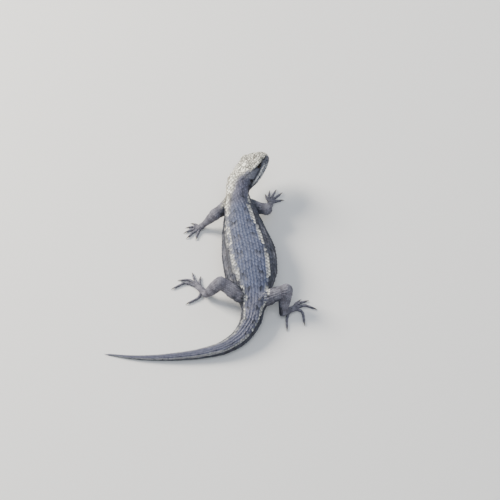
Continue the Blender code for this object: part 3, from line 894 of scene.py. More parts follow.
class Body:
    """Every form of the animal, and how widely the skin rounds where they meet."""

    at_root = 2.2
    at_bend = 1.4
    beside_body = 0.8
    at_wrist = 0.9
    at_toe = 0.5
    beside_toe = 0.4

    def __init__(self) -> None:
        """Makes the trunk, the legs' lengths, the soles and the toes."""
        self.trunk = Trunk()
        self.lengths: list[LimbLength] = []
        self.soles: list[Sole] = []
        self.digits: list[Digit] = []
        for leg in LEGS:
            for name, start, end, radii in zip(leg.nodes, leg.joints, leg.joints[1:], leg.radii):
                self.lengths.append(LimbLength(name, start, end, radii))
            foot = leg.nodes[-1]
            self.soles.append(Sole(foot, leg.joints[-1], leg.ball, leg.breadth))
            for i, (places, knuckles) in enumerate(zip(leg.toes, leg.knuckles)):
                self.digits.append(Digit(f"{foot}_{i + 1}", places, knuckles=knuckles))

    def neighbours(self, form: Trunk | Part) -> list[tuple[Trunk | Part, float]]:
        """Finds what a form grows from and carries.

        Args:
            form: the form.

        Returns:
            Its neighbours, each with how widely the skin rounds where they meet.
        """
        if isinstance(form, Trunk):
            return [(upper, self.at_root) for upper in self.lengths[::2]]
        if isinstance(form, LimbLength):
            i = self.lengths.index(form)
            if i % 2 == 0:
                return [(self.lengths[i + 1], self.at_bend), (self.trunk, self.at_root)]
            return [(self.lengths[i - 1], self.at_bend), (self.trunk, self.beside_body),
                    (self.soles[i // 2], self.at_wrist)]
        if isinstance(form, Sole):
            i = self.soles.index(form)
            toes = self.digits[5 * i:5 * i + 5]
            return [(self.lengths[2 * i + 1], self.at_wrist)] + [(toe, self.at_toe) for toe in toes]
        i = self.digits.index(form) // 5
        return [(self.soles[i], self.at_toe), (self.lengths[2 * i + 1], self.beside_toe)]

    def rounding(self, form: Trunk | Part, points: Array) -> tuple[Array, Array]:
        """How far to push skin out beside a neighbour, and how deep it lies inside the nearest one.

        Args:
            form: the form that the points lie on.
            points: the points.

        Returns:
            The push for each point, and its least distance outside any neighbour.
        """
        push, least = np.zeros(len(points)), np.full(len(points), FAR)
        for other, width in self.neighbours(form):
            away = other.distance(points)
            push = np.maximum(push, np.clip(width - np.abs(away), 0, None) ** 2 / (4 * width))
            least = np.minimum(least, away)
        return push, least


# Colours


@dataclass(frozen=True)
class Tones:
    """The lizard's colours, as screen colours; the body's greys carry painted skylight shade."""

    # painted shade: back, back_fleck and nape are blued and darkened as under skylight
    back: tuple = (89, 96, 121)
    back_fleck: tuple = (72, 76, 98)
    nape: tuple = (104, 103, 119)
    # painted shade: the flank tones are darker and bluer than the flank's own colour
    flank: tuple = (70, 73, 86)
    flank_fleck: tuple = (48, 48, 58)
    # the stripes' own cream, brightened with painted sunlight
    stripe: tuple = (236, 234, 226)
    bar: tuple = (38, 39, 46)
    belly: tuple = (196, 194, 184)
    # cream: largely painted sunlight over the crown's own brown-grey
    crown: tuple = (254, 250, 234)
    crown_fleck: tuple = (112, 104, 92)
    # painted shade: the head's side is a bluish grey as under skylight
    face: tuple = (104, 106, 118)
    face_dark: tuple = (34, 33, 39)
    lip: tuple = (236, 234, 229)
    # painted shade: the legs' tones are bluish as under skylight
    limb: tuple = (119, 117, 128)
    limb_fleck: tuple = (76, 74, 84)
    limb_pale: tuple = (143, 141, 150)

    def linear(self) -> dict[str, Array]:
        """Each colour in linear light, by its name."""
        return {f.name: srgb(*getattr(self, f.name)) for f in fields(self)}


@dataclass(frozen=True)
class Markings:
    """The lizard's pattern, worked out for places on its skin.

    Its lines are knots of distance back from the snout's tip and distance round from the midline.
    """

    tones: Tones = Tones()
    left_stripe: tuple = ((13, 4.2), (18, 3.6), (24, 4.2), (27, 5.0), (30, 6.2), (38, 7.0), (44, 7.1),
                          (50, 6.9), (58, 5.4), (63, 3.9), (66, 3.4), (70, 3.5), (75, 2.7), (80, 2.1),
                          (100, 1.5), (134, 0.5))
    right_stripe: tuple = ((13, 7.5), (21, 7.0), (24, 5.5), (27, 4.1), (29, 3.75), (35, 4.8), (43, 5.8),
                           (48, 6.4), (55, 6.95), (60, 6.2), (67, 4.7), (71, 3.8), (79, 3.0), (86, 2.6),
                           (100, 1.8), (134, 0.5))
    left_width: tuple = ((13, 1.2), (22, 1.1), (30, 0.85), (44, 1.1), (52, 0.95), (58, 0.75), (63, 0.5),
                         (80, 0.5), (134, 0.2))
    right_width: tuple = ((13, 0.35), (35, 0.4), (57, 0.42), (86, 0.35), (134, 0.2))
    # Edge of the painted sunlight over the nape and the left of the neck: distance back and distance round.
    nape_edge: tuple = ((9, -5.2), (12, -3.3), (15, -2.3), (19, -0.5), (21, 0.8), (24, 3.0), (28, 4.6),
                        (32, 5.6))
    flank_line: tuple = ((30, 2.4), (41, 2.9), (49, 4.1))  # its distance below the stripe
    bars: tuple = (24.0, 29.5, 35.0, 41.2, 49.3, 57.9, 63.6, 67.5, 71.2, 76.0, 81.0, 87.0, 93.5, 100.0, 107.0,
                   114.0, 121.0)
    brow_line: tuple = ((1.3, 2.3), (3.6, 3.7), (5.3, 4.5), (6.3, 4.95), (8.6, 5.15), (10.3, 4.7), (16, 4.4))
    eye_line: tuple = ((1.0, 2.6), (2.0, 3.2), (3.3, 4.0), (5.0, 4.8), (6.4, 5.7), (8.2, 7.1), (11.0, 7.5),
                       (15.0, 8.3), (20.0, 8.4), (25.0, 8.0))
    temple_line: tuple = ((8.2, 6.2), (9.3, 5.6), (11.0, 4.8), (13.5, 4.3), (18.0, 4.0), (21.0, 3.8),
                          (26.0, 2.9), (30.0, 2.2))
    lip_line: tuple = ((0.5, 3.0), (3.0, 5.2), (6.0, 7.1), (9.7, 8.3), (12.0, 8.6), (13.9, 9.0))
    jaw_spot: tuple = (13.8, 9.2)

    def stripe_line(self, s: Array, left: Array) -> Array:
        """How far round the stripe's middle lies on either side."""
        return np.where(left, eased(self.left_stripe, s), eased(self.right_stripe, s))

    def right_of_nape(self, s: Array, arc: Array, before: float, after: float) -> Array:
        """Smoothly 0 to 1 over the edge of the painted sunlight on the nape, from its shaded right."""
        edge = eased(self.nape_edge, s)
        return fade(arc, edge + before, edge + after)

    def trunk(self, s: Array, arc: Array, half: Array, points: Array) -> Array:
        """Colours of the head, body and tail.

        Args:
            s: distances from the snout's tip.
            arc: distances round from the midline of the back, positive to the left.
            half: half the distance round the body there.
            points: the places themselves, which the mottling follows.

        Returns:
            A colour for each place.
        """
        tone = self.tones.linear()
        fine, broad = mottle(points, 0.9, 1), mottle(points, 2.6, 2)
        left, away = arc > 0, np.abs(arc)
        line = self.stripe_line(s, left)
        width = np.where(left, eased(self.left_width, s), eased(self.right_width, s))
        wavy = away + 0.22 * fine + 0.12 * broad
        across = (wavy - line) / width
        plain = lerp(tone["nape"], tone["back"], fade(s, 20, 30) * (1 - 0.7 * fade(s, 58, 70)))
        colour = lerp(plain, tone["back_fleck"], 0.6 * fade(fine + 0.5 * broad, 0.05, 0.7))
        flank = lerp(tone["flank"], tone["flank_fleck"], fade(fine + 0.6 * broad, -0.15, 0.45))
        colour = lerp(colour, flank, fade(wavy, line - 0.1, line + 0.5))
        slanted = s + 0.6 * fine - 0.3 * (away - line)
        bars = sum(bell(slanted, at, 0.72) for at in self.bars)
        pale = sum(bell(slanted, at + 1.7, 0.7) for at in self.bars)
        inner = between(wavy, 0.28 * line, 0.42 * line, 0.62 * line, 0.8 * line)
        colour = lerp(colour, tone["limb_pale"], 0.35 * inner * np.clip(pale, 0, 1))
        colour = lerp(colour, tone["bar"], 0.82 * inner * fade(bars, 0.3, 0.8) * (1 - 0.4 * fade(s, 80, 110)))
        rim = bell(across, -1.7, 0.5) * between(s, 15, 20, 60, 74) * fade(broad, -0.6, 0.1)
        colour = lerp(colour, tone["bar"], 0.62 * rim)
        # breaks in the pale stripes; stronger on the left, as painted shade between sunlit scales
        ragged_and_shaded = np.where(left, 1.3 * fade(fine + 0.4 * broad, -0.08, 0.16), fade(fine, 0.25, 0.6))
        begun = fade(s, np.where(left, 11.5, 20.5), np.where(left, 14.5, 24)) * (1 - 0.55 * fade(s, 70, 100))
        stripe = (1 - fade(np.abs(across), 0.6, 1.2)) * begun * (1 - 0.68 * ragged_and_shaded)
        colour = lerp(colour, tone["stripe"], stripe)
        # painted sunlight: the crown's cream over the nape and the left of the neck, with darker flecks
        nape = self.right_of_nape(s, arc + 0.5 * fine, -1.2, 1.4) * between(s, 12, 14, 23, 30)
        mottled = lerp(tone["crown"], tone["crown_fleck"], 0.85 * fade(fine + 0.3 * broad, -0.06, 0.16))
        colour = lerp(colour, mottled, nape * (1 - fade(arc, 5.6, 7.0)))
        colour = lerp(colour, tone["bar"], 0.6 * bell(across, 2.1, 0.7) * between(s, 14, 19, 78, 100))
        low = bell(wavy, line + eased(self.flank_line, s), 0.4) * between(s, 30, 38, 56, 64)
        colour = lerp(colour, tone["limb_pale"], 0.8 * low * fade(broad, -0.5, 0.1))
        share = away / half
        under = lerp(tone["belly"], tone["flank"], 0.25 * fade(broad, 0, 0.6))
        colour = lerp(colour, under, fade(share + 0.05 * fine, 0.66, 0.8))
        return self.face_over(colour, s, arc, share, points)

    def face_over(self, colour: Array, s: Array, arc: Array, share: Array, points: Array) -> Array:
        """Lays the head's markings over the body's, fading out along the neck.

        Args:
            colour: the body's colours.
            s: distances from the snout's tip.
            arc: distances round from the midline of the back.
            share: the same as shares of half the distance round.
            points: the places themselves.

        Returns:
            The colours, changed.
        """
        tone = self.tones.linear()
        away = np.abs(arc)
        fine, specks = mottle(points, 0.45, 3), mottle(points, 1.25, 4)
        flecks = fade(specks + 0.7 * fine, -0.1, 0.4) * (1 - 0.5 * fade(s, 11, 14))
        crown = lerp(tone["crown"], tone["crown_fleck"], 0.7 * flecks)
        side = lerp(tone["face"], tone["flank_fleck"], 0.6 * fade(fine, -0.1, 0.6))
        throat = lerp(tone["belly"], tone["face"], 0.6 * fade(specks, -0.1, 0.5))
        edge = eased(self.brow_line, s)
        # painted shade: the rear of the crown right of the sunlight's edge
        shaded = (1 - self.right_of_nape(s, arc + 0.5 * fine, -0.6, 0.6)) * fade(s, 10, 12)
        crown = lerp(crown, lerp(tone["face"], tone["limb_pale"], 0.5 * fade(specks, -0.2, 0.4)), shaded)
        face = lerp(crown, side, fade(away + 0.15 * fine, edge - 0.1, edge + 0.3))
        face = lerp(face, throat, fade(share + 0.03 * fine, 0.66, 0.76))
        brow = bell(away, edge - 0.3, 0.3) * between(s, 3.0, 5.0, 8.8, 10.0)
        face = lerp(face, tone["crown"], 0.85 * brow)
        lip = eased(self.lip_line, s)
        lips = np.maximum(bell(away, lip, 0.33) * between(s, 3, 7, 13.9, 14.6),
                          0.75 * bell(away, lip + 1.15, 0.24) * between(s, 1, 4, 12, 14))
        spot = bell(s, self.jaw_spot[0], 0.45) * bell(away, self.jaw_spot[1], 0.7)
        face = lerp(face, tone["lip"], 0.97 * np.maximum(lips, spot))
        shadow = bell(away + 0.1 * fine, edge + 0.3, 0.25) * between(s, 1.2, 2.2, 9, 11)
        face = lerp(face, tone["face_dark"], 0.85 * shadow)
        colour = lerp(colour, face, 1 - fade(s, 13.0, 16.0))
        dark = bell(away + 0.12 * fine, eased(self.eye_line, s), 0.32) * between(s, 1.2, 2.4, 21, 25)
        colour = lerp(colour, tone["face_dark"], 0.9 * dark * (1 - 0.8 * fade(s, 13.5, 17)))
        temple = bell(away + 0.12 * fine, eased(self.temple_line, s), 0.3) * fade(s, 8.0, 8.8)
        temple = temple * np.where(arc < 0, 1 - fade(s, 26, 31), 1 - fade(s, 9, 11))
        return lerp(colour, tone["face_dark"], 0.8 * temple * (1 - 0.3 * fade(s, 14, 18)))

    def limb_tone(self, share: Array, turn: Array, points: Array, band: float) -> Array:
        """Colours of a leg, foot or toe.

        Args:
            share: how far along the length each place is, 0 to 1.
            turn: angles round from the top.
            points: the places themselves.
            band: how far apart the crosswise bands are, as a share of the length.

        Returns:
            A colour for each place.
        """
        tone = self.tones.linear()
        fine, broad = mottle(points, 0.7, 5), mottle(points, 2.0, 6)
        colour = lerp(tone["limb"], tone["limb_fleck"], 0.8 * fade(fine + 0.4 * broad, -0.1, 0.6))
        wave = np.cos(2 * np.pi * (share + 0.05 * broad) / band)
        colour = lerp(colour, tone["limb_fleck"], 0.55 * fade(wave, 0.35, 0.85))
        colour = lerp(colour, tone["limb_pale"], 0.5 * fade(-wave, 0.6, 0.95) * fade(fine, -0.5, 0.2))
        return lerp(colour, tone["belly"], 0.75 * fade(-np.cos(turn), 0.45, 0.85))


# Nodes and finishes


class Value:
    """A number in a material, whose operators add Math nodes."""

    def __init__(self, nodes: "Nodes", socket: Socket) -> None:
        """Wraps an output socket of the material."""
        self.nodes = nodes
        self.socket = socket

    def math(self, operation: str, *operands: "Value | float") -> "Value":
        """One Math node over the operands."""
        node = self.nodes.add("ShaderNodeMath", {"operation": operation}, dict(enumerate(operands)))
        return Value(self.nodes, node.outputs[0])

    def __add__(self, other: "Value | float") -> "Value":
        """Their sum."""
        return self.math("ADD", self, other)

    def __sub__(self, other: "Value | float") -> "Value":
        """Their difference."""
        return self.math("SUBTRACT", self, other)

    def __rsub__(self, other: "Value | float") -> "Value":
        """The difference the other way."""
        return self.math("SUBTRACT", other, self)

    def __mul__(self, other: "Value | float") -> "Value":
        """Their product."""
        return self.math("MULTIPLY", self, other)

    def __abs__(self) -> "Value":
        """Its size."""
        return self.math("ABSOLUTE", self)

    __radd__ = __add__
    __rmul__ = __mul__

    def ramp(self, low: float, high: float) -> "Value":
        """Smoothly 0 at low to 1 at high."""
        inputs = {"Value": self, "From Min": low, "From Max": high}
        return self.nodes.value("ShaderNodeMapRange", "Result", inputs, interpolation_type="SMOOTHSTEP")


class Nodes:
    """A material's node tree, built by expressions."""

    def __init__(self, name: str) -> None:
        """Starts a material with its Principled BSDF.

        Args:
            name: the material's name.
        """
        self.material = bpy.data.materials.new(name)
        self.material.use_nodes = True
        self.tree = self.material.node_tree
        self.shader = self.tree.nodes["Principled BSDF"]

    def add(self, kind: str, settings: dict | None = None, inputs: dict | None = None) -> bpy.types.Node:
        """Adds a node.

        Args:
            kind: the node's type.
            settings: its own properties, set first.
            inputs: values, Values or sockets by the input's name or place.

        Returns:
            The node.
        """
        node = self.tree.nodes.new(kind)
        for key, value in (settings or {}).items():
            setattr(node, key, value)
        for key, value in (inputs or {}).items():
            self.feed(node.inputs[key], value)
        return node

    def value(self, kind: str, output: str, inputs: dict | None = None, **settings: str) -> Value:
        """Adds a node and reads one number from it."""
        return Value(self, self.add(kind, settings, inputs).outputs[output])

    def feed(self, socket: Socket, value: object) -> None:
        """Gives an input what it shows.

        Args:
            socket: the input.
            value: a Value or a socket to link, or a plain value to set.
        """
        if isinstance(value, Value):
            value = value.socket
        if isinstance(value, Socket):
            self.tree.links.new(value, socket)
        else:
            socket.default_value = value

    def attribute(self, name: str, output: str = "Color") -> Socket:
        """The socket of a mesh attribute."""
        return self.add("ShaderNodeAttribute", {"attribute_name": name}).outputs[output]

    def number(self, name: str) -> Value:
        """A mesh attribute that holds one number."""
        return Value(self, self.attribute(name, "Fac"))

    def parts(self, vector: Socket) -> tuple[Value, Value, Value]:
        """A vector's three numbers."""
        outputs = self.add("ShaderNodeSeparateXYZ", None, {0: vector}).outputs
        return tuple(Value(self, out) for out in outputs)

    def place(self) -> Socket:
        """Object coordinates."""
        return self.add("ShaderNodeTexCoord").outputs["Object"]

    def grain(self, per_metre: float, detail: float = 3.0, where: Socket | None = None) -> Value:
        """Noise from 0 to 1 at a scale."""
        inputs = {"Vector": where or self.place(), "Scale": per_metre, "Detail": detail, "Roughness": 0.55}
        return self.value("ShaderNodeTexNoise", "Fac", inputs, noise_dimensions="3D")

    def cells(self, per_metre: float) -> Value:
        """Distance from the edges of small cells."""
        inputs = {"Vector": self.place(), "Scale": per_metre}
        return self.value("ShaderNodeTexVoronoi", "Distance", inputs, feature="DISTANCE_TO_EDGE")

    def mix(self, first: object, second: object, share: Value | float) -> Socket:
        """Mixes two colours."""
        inputs = {0: share, 6: first, 7: second}
        return self.add("ShaderNodeMix", {"data_type": "RGBA"}, inputs).outputs[2]

    def tinted(self, colour: Socket, gain: Value) -> Socket:
        """A colour made lighter or darker by a number."""
        return self.add("ShaderNodeVectorMath", {"operation": "SCALE"}, {0: colour, "Scale": gain}).outputs[0]

    def bump(self, height: Value, depth: float) -> Socket:
        """The surface's normal under a height, over a depth in metres."""
        return self.add("ShaderNodeBump", None, {"Height": height, "Distance": depth}).outputs[0]

    def dressed(self, **inputs: object) -> Material:
        """Feeds the surface and hands over the material.

        Args:
            **inputs: what each of the surface's inputs shows, by its name in small letters.

        Returns:
            The material.
        """
        for name, value in inputs.items():
            self.feed(self.shader.inputs[name.replace("_", " ").title().replace("Ior", "IOR")], value)
        return self.material


def rgba(red: int, green: int, blue: int) -> tuple[float, float, float, float]:
    """A screen colour as a node's colour."""
    return (*srgb(red, green, blue), 1.0)


@dataclass(frozen=True)
class SkinFinish:
    """Skin that shows between the scales, finely wrinkled, and the smoother horn of the head's plates."""

    name: str = "lizard_skin"
    grain_per_metre: float = 2600.0
    cell_per_metre: float = 5200.0
    pore_per_metre: float = 8320.0
    depth: float = 0.00007
    dark: float = 0.8

    def material(self) -> Material:
        """Builds the material.

        Returns:
            The material.
        """
        nodes = Nodes(self.name)
        horn = nodes.number("horn")
        soft = 1.0 - horn
        grain, cells = nodes.grain(self.grain_per_metre), nodes.cells(self.cell_per_metre).ramp(0.0, 0.22)
        pores = nodes.grain(self.pore_per_metre, 2.0)
        plain = (grain * 0.5 + 0.72) * (cells * 0.14 + self.dark)
        plate = (grain * 0.22 + 0.86) * (pores * 0.16 + 0.94)
        return nodes.dressed(
            base_color=nodes.tinted(nodes.attribute("shade"), plain * soft + plate * horn),
            roughness=0.74 - grain * 0.22 - horn * 0.14,
            normal=nodes.bump(cells * soft * 0.6 + grain * 0.3 + pores * horn * 0.25, self.depth),
            specular_ior_level=0.42)


@dataclass(frozen=True)
class ScaleFinish:
    """A horny scale with darker margins and a paler keel, plus painted shade at its covered root and edges and
    a painted highlight on its keel.
    """

    name: str
    keel_gain: float = 0.05
    edge_loss: float = 0.14
    root_loss: float = 0.28
    # painted shade that a pale scale takes more, at its edges and root
    pale_loss: float = 0.44  # what a pale scale loses more, at its edges and root
    gloss: float = 0.56
    depth: float = 0.00003
    streaks: tuple = (3.0, 26.0, 1.0)  # how often streaks change along and across a scale

    def material(self) -> Material:
        """Builds the material.

        Returns:
            The material.
        """
        nodes = Nodes(self.name)
        leaf = nodes.attribute("leaf", "Vector")
        along, across, _ = nodes.parts(leaf)
        off = abs(across - 0.5) * 2.0
        # keel: paler, own colour and painted highlight; edge: own dark margin and painted shade; root: painted
        # shade under the scale before
        keel = 1.0 - off.ramp(0.04, 0.32)
        edge = off.ramp(0.62, 1.0)
        root = 1.0 - along.ramp(0.38, 0.82)
        grain = nodes.grain(3800.0)
        blotch = nodes.grain(900.0, 2.0)
        stretched = {"Vector": leaf, "Scale": self.streaks}
        spread = nodes.add("ShaderNodeMapping", {"vector_type": "POINT"}, stretched)
        streak = nodes.grain(1.0, 2.0, spread.outputs[0])
        shade = nodes.mix(nodes.attribute("right_shade"), nodes.attribute("shade"), across.ramp(0.2, 0.8))
        pale = nodes.parts(shade)[0].ramp(0.2, 0.5) * self.pale_loss
        lit = (1.0 + keel * self.keel_gain) * (1.0 - edge * (pale + self.edge_loss))
        gain = lit * (1.0 - root * (pale + self.root_loss)) * (grain * 0.36 + 0.82) * (blotch * 0.24 + 0.88)
        return nodes.dressed(
            base_color=nodes.tinted(shade, gain), roughness=self.gloss + grain * 0.2 - keel * 0.06,
            normal=nodes.bump(streak * 0.7 + grain * 0.5, self.depth), specular_ior_level=0.5)


@dataclass(frozen=True)
class EyeFinish:
    """A wet dark eye with a thin bronze iris."""

    name: str = "lizard_eye"
    pupil: tuple = (6, 5, 5)
    rim: tuple = (98, 76, 50)
    iris: tuple = (44, 33, 26)
    outer: tuple = (22, 17, 15)

    def material(self) -> Material:
        """Builds the material.

        Returns:
            The material.
        """
        nodes = Nodes(self.name)
        fibres = nodes.grain(7000.0)
        spot = nodes.number("gaze") + (fibres - 0.5) * 0.02
        colour = nodes.mix(rgba(*self.pupil), rgba(*self.rim), spot.ramp(0.43, 0.47))
        colour = nodes.mix(colour, rgba(*self.iris), (spot + fibres * 0.1).ramp(0.5, 0.6))
        colour = nodes.mix(colour, rgba(*self.outer), spot.ramp(0.68, 0.85))
        return nodes.dressed(base_color=colour, roughness=0.12, specular_ior_level=0.4)


@dataclass(frozen=True)
class ClawFinish:
    """Horn that darkens to its point."""

    name: str = "lizard_claw"
    root: tuple = (70, 58, 50)
    point: tuple = (34, 28, 26)

    def material(self) -> Material:
        """Builds the material.

        Returns:
            The material.
        """
        nodes = Nodes(self.name)
        grain = nodes.grain(5000.0)
        share = (nodes.number("along") + grain * 0.3).ramp(0.2, 0.9)
        return nodes.dressed(
            base_color=nodes.mix(rgba(*self.root), rgba(*self.point), share), roughness=grain * 0.2 + 0.26,
            normal=nodes.bump(grain, 0.00002), specular_ior_level=0.5)


@dataclass(frozen=True)
class FloorFinish:
    """The studio's pale floor."""

    name: str = "studio_floor"
    pale: tuple = (236, 234, 230)

    def material(self) -> Material:
        """Builds the material.

        Returns:
            The material.
        """
        nodes = Nodes(self.name)
        colour = nodes.add("ShaderNodeRGB").outputs[0]
        colour.default_value = rgba(*self.pale)
        gain = nodes.grain(900.0) * 0.03 + 0.985
        return nodes.dressed(base_color=nodes.tinted(colour, gain), roughness=0.9, specular_ior_level=0.2)


# Meshes


def linked(name: str, mesh: Mesh) -> Piece:
    """Puts a mesh in the scene.

    Args:
        name: the object's name.
        mesh: its mesh.

    Returns:
        The new object.
    """
    made = bpy.data.objects.new(name, mesh)
    bpy.context.scene.collection.objects.link(made)
    return made


def mesh_of(name: str, points: Array, faces: list) -> Mesh:
    """Makes a closed mesh whose faces point out.

    Args:
        name: its name.
        points: its points, in metres or in units of its own.
        faces: its faces.

    Returns:
        The mesh.
    """
    mesh = bpy.data.meshes.new(name)
    mesh.from_pydata(points.tolist(), [], faces)
    form = bmesh.new()
    form.from_mesh(mesh)
    bmesh.ops.recalc_face_normals(form, faces=form.faces)
    form.to_mesh(mesh)
    form.free()
    return mesh


def store(mesh: Mesh, name: str, kind: str, values: Array) -> None:
    """Stores one value for each vertex.

    Args:
        mesh: the mesh.
        name: the attribute's name.
        kind: its type.
        values: the values.
    """
    slot = {"FLOAT": "value", "FLOAT_COLOR": "color", "FLOAT_VECTOR": "vector"}[kind]
    if kind == "FLOAT_COLOR":
        values = np.concatenate((values, np.ones((len(values), 1))), axis=1)
    flat = np.ascontiguousarray(values, np.float32).ravel()
    mesh.attributes.new(name, kind, "POINT").data.foreach_set(slot, flat)


def read_points(mesh: Mesh) -> Array:
    """Reads where a mesh's points lie.

    Args:
        mesh: the mesh.

    Returns:
        Its points, in metres.
    """
    points = np.empty(len(mesh.vertices) * 3, np.float32)
    mesh.vertices.foreach_get("co", points)
    return points.reshape(-1, 3)


def raise_over(mesh: Mesh, least: float) -> None:
    """Lifts a mesh's points to a least height over the floor.

    Args:
        mesh: the mesh.
        least: the height, in metres.
    """
    points = read_points(mesh)
    points[:, 2] = np.maximum(points[:, 2], least)
    mesh.vertices.foreach_set("co", points.ravel())
    mesh.update()


def ring_faces(counts: list[int]) -> list[tuple[int, ...]]:
    """Faces over rings of points, each ring with as many as the one before or half, closed by two poles.

    Args:
        counts: how many points each ring has. The poles' points come first and last.

    Returns:
        The faces, as indices of points.
    """
    first = 1
    faces = [(0, first + (i + 1) % counts[0], first + i) for i in range(counts[0])]
    for a, b in zip(counts, counts[1:]):
        second = first + a
        for i in range(b):
            low, high = second + i, second + (i + 1) % b
            if a == b:
                faces.append((first + i, first + (i + 1) % a, high, low))
            else:
                left, mid, right = first + 2 * i, first + 2 * i + 1, first + (2 * i + 2) % a
                faces.extend(((left, mid, low), (mid, high, low), (mid, right, high)))
        first = second
    last = first + counts[-1]
    faces.extend((first + i, first + (i + 1) % counts[-1], last) for i in range(counts[-1]))
    return faces


# Head shields


class Shields:
    """The head's large plates: cells set round their middles, which the skin carries as relief."""

    # Distance back, distance round from the crown's midline, reach.
    crown = ((0.15, 0.0, 0.8), (0.95, 0.55, 0.5), (0.95, 1.5, 0.45), (1.75, 0.0, 0.4), (1.85, 0.9, 0.45),
             (1.9, 1.8, 0.45), (2.75, 0.5, 0.5), (2.8, 1.5, 0.5), (2.9, 2.5, 0.45), (3.75, 0.0, 0.62),
             (3.7, 1.3, 0.6), (3.75, 2.4, 0.5), (3.9, 3.3, 0.45), (4.85, 0.75, 0.7), (4.8, 2.0, 0.45),
             (4.7, 2.95, 0.45), (5.95, 0.0, 0.66), (7.35, 0.0, 0.68), (5.7, 1.2, 0.3), (6.5, 1.15, 0.3),
             (7.3, 1.2, 0.3), (8.1, 1.35, 0.3), (8.9, 1.75, 0.3), (5.45, 2.1, 0.5), (6.4, 2.3, 0.58),
             (7.4, 2.4, 0.58), (8.4, 2.45, 0.55), (9.3, 2.6, 0.45), (5.5, 3.3, 0.3), (6.25, 3.45, 0.3),
             (7.0, 3.5, 0.3), (7.8, 3.55, 0.3), (8.6, 3.55, 0.3), (9.35, 3.5, 0.3), (4.7, 3.95, 0.4),
             (5.7, 4.25, 0.42), (6.8, 4.4, 0.42), (7.9, 4.4, 0.42), (9.0, 4.3, 0.42), (8.7, 0.55, 0.52),
             (10.45, 0.0, 1.05), (10.2, 1.8, 0.8), (10.3, 3.1, 0.5), (12.1, 0.6, 0.5), (11.9, 1.8, 0.5),
             (11.5, 2.9, 0.45))
    # Distance back, height over the line of the mouth, reach.
    sides = ((1.3, 1.5, 0.45), (2.6, 1.5, 0.4), (3.7, 1.5, 0.4), (4.8, 1.45, 0.35), (2.4, 2.4, 0.4),
             (3.5, 2.5, 0.4), (4.5, 2.6, 0.4), (0.9, 0.62, 0.55), (2.2, 0.62, 0.55), (3.6, 0.62, 0.6),
             (5.1, 0.62, 0.6), (6.6, 0.62, 0.6), (8.1, 0.62, 0.6), (9.6, 0.62, 0.6), (11.0, 0.62, 0.5),
             (0.9, -0.55, 0.5), (2.2, -0.55, 0.55), (3.6, -0.55, 0.6), (5.1, -0.55, 0.6), (6.6, -0.55, 0.6),
             (8.1, -0.55, 0.6), (9.6, -0.55, 0.6), (11.0, -0.55, 0.5), (2.9, -1.35, 0.5), (4.3, -1.4, 0.5),
             (5.8, -1.45, 0.5), (7.3, -1.5, 0.5), (8.8, -1.5, 0.5))
    # Distance back, distance round from the throat's midline, reach.
    chin = ((0.2, 0.0, 0.6), (1.5, 0.5, 0.5), (2.9, 0.65, 0.6), (4.4, 0.75, 0.6), (5.9, 1.2, 0.5))
    groove_depth = 0.22
    groove_width = 0.13
    # widths of the dark seams and painted shade along the plates' grooves
    crown_stain = 0.25
    side_stain = 0.13
    doming = 0.1
    dome_width = 0.22
    border = 0.32

    def __init__(self, trunk: Trunk) -> None:
        """Sets each plate's middle on the head, on both sides.

        Args:
            trunk: the body whose head carries the plates.
        """
        places, reach, stain = [], [], []
        ways = ((self.crown, self.round_top), (self.sides, self.up_side), (self.chin, self.round_chin))
        for table, find in ways:
            for back, value, radius in table:
                turn = find(trunk, back, value)
                middle = value == 0 and table is not self.sides
                for side in SIDES[:1] if middle else SIDES:
                    places.append(trunk.form(np.array([back]), np.array([side * turn]), plain=True)[0])
                    reach.append(radius)
                    stain.append(self.crown_stain if table is self.crown else self.side_stain)
        self.places, self.reach, self.stain = np.array(places), np.array(reach), np.array(stain)
        uneven = fade(np.sin(2.4 * np.arange(len(stain))), -0.1, 0.9)
        self.shade = uneven * np.where(self.stain == self.crown_stain, 0.5, 0.22)

    @staticmethod
    def round_top(trunk: Trunk, back: float, arc: float) -> float:
        """The turn at a distance round from the top."""
        turn, arcs = trunk.arcs(back)
        return float(np.interp(arc, arcs, turn))

    @staticmethod
    def round_chin(trunk: Trunk, back: float, arc: float) -> float:
        """The turn at a distance round from underneath."""
        turn, arcs = trunk.arcs(back)
        return float(np.interp(arcs[-1] - arc, arcs, turn))

    @staticmethod
    def up_side(trunk: Trunk, back: float, height: float) -> float:
        """Finds a height over the line of the mouth.

        Args:
            trunk: the body.
            back: the distance from the snout's tip.
            height: the height.

        Returns:
            The turn there.
        """
        turn = trunk.quarters()
        local = trunk.head.local(trunk.form(np.full(len(turn), back), turn, plain=True))
        return float(np.interp(-height / trunk.head.size, -local[:, 2], turn))

    def read(self, points: Array) -> tuple[Array, Array, Array]:
        """The plates at points on the head.

        Args:
            points: the points.

        Returns:
            The relief's height, how far the plates cover each point (0 to 1), and how bright they leave it,
            with dark seams and painted shade along the grooves.
        """
        square = ((points[:, None] - self.places[None]) ** 2).sum(2)
        power = square - self.reach ** 2
        plate = power.argmin(1)
        rows = np.arange(len(points))
        apart = np.linalg.norm(self.places[plate][:, None] - self.places[None], axis=2)
        edge = (power - power[rows, plate][:, None]) / (2 * np.maximum(apart, 1e-6))
        edge[rows, plate] = FAR
        edge = edge.min(1)
        cover = 1 - fade(np.sqrt(square[rows, plate]) / (self.reach[plate] + self.border), 0.92, 1.2)
        groove = np.exp(-(edge / self.groove_width) ** 2)
        height = self.doming * (1 - np.exp(-edge / self.dome_width)) - self.groove_depth * groove
        # dark seams and painted shade along the grooves between the plates
        stain = 0.8 * np.exp(-(edge / self.stain[plate]) ** 2)
        return height * cover, cover, (1 - stain * cover) * (1 - self.shade[plate] * cover)


# Skin


@dataclass
class Shell:
    """One closed form that the skin is joined from."""

    name: str
    points: Array
    faces: list
    shades: Array

    def mesh(self) -> Mesh:
        """Its form as a mesh in metres."""
        return mesh_of("shell_" + self.name, metres(self.points), self.faces)


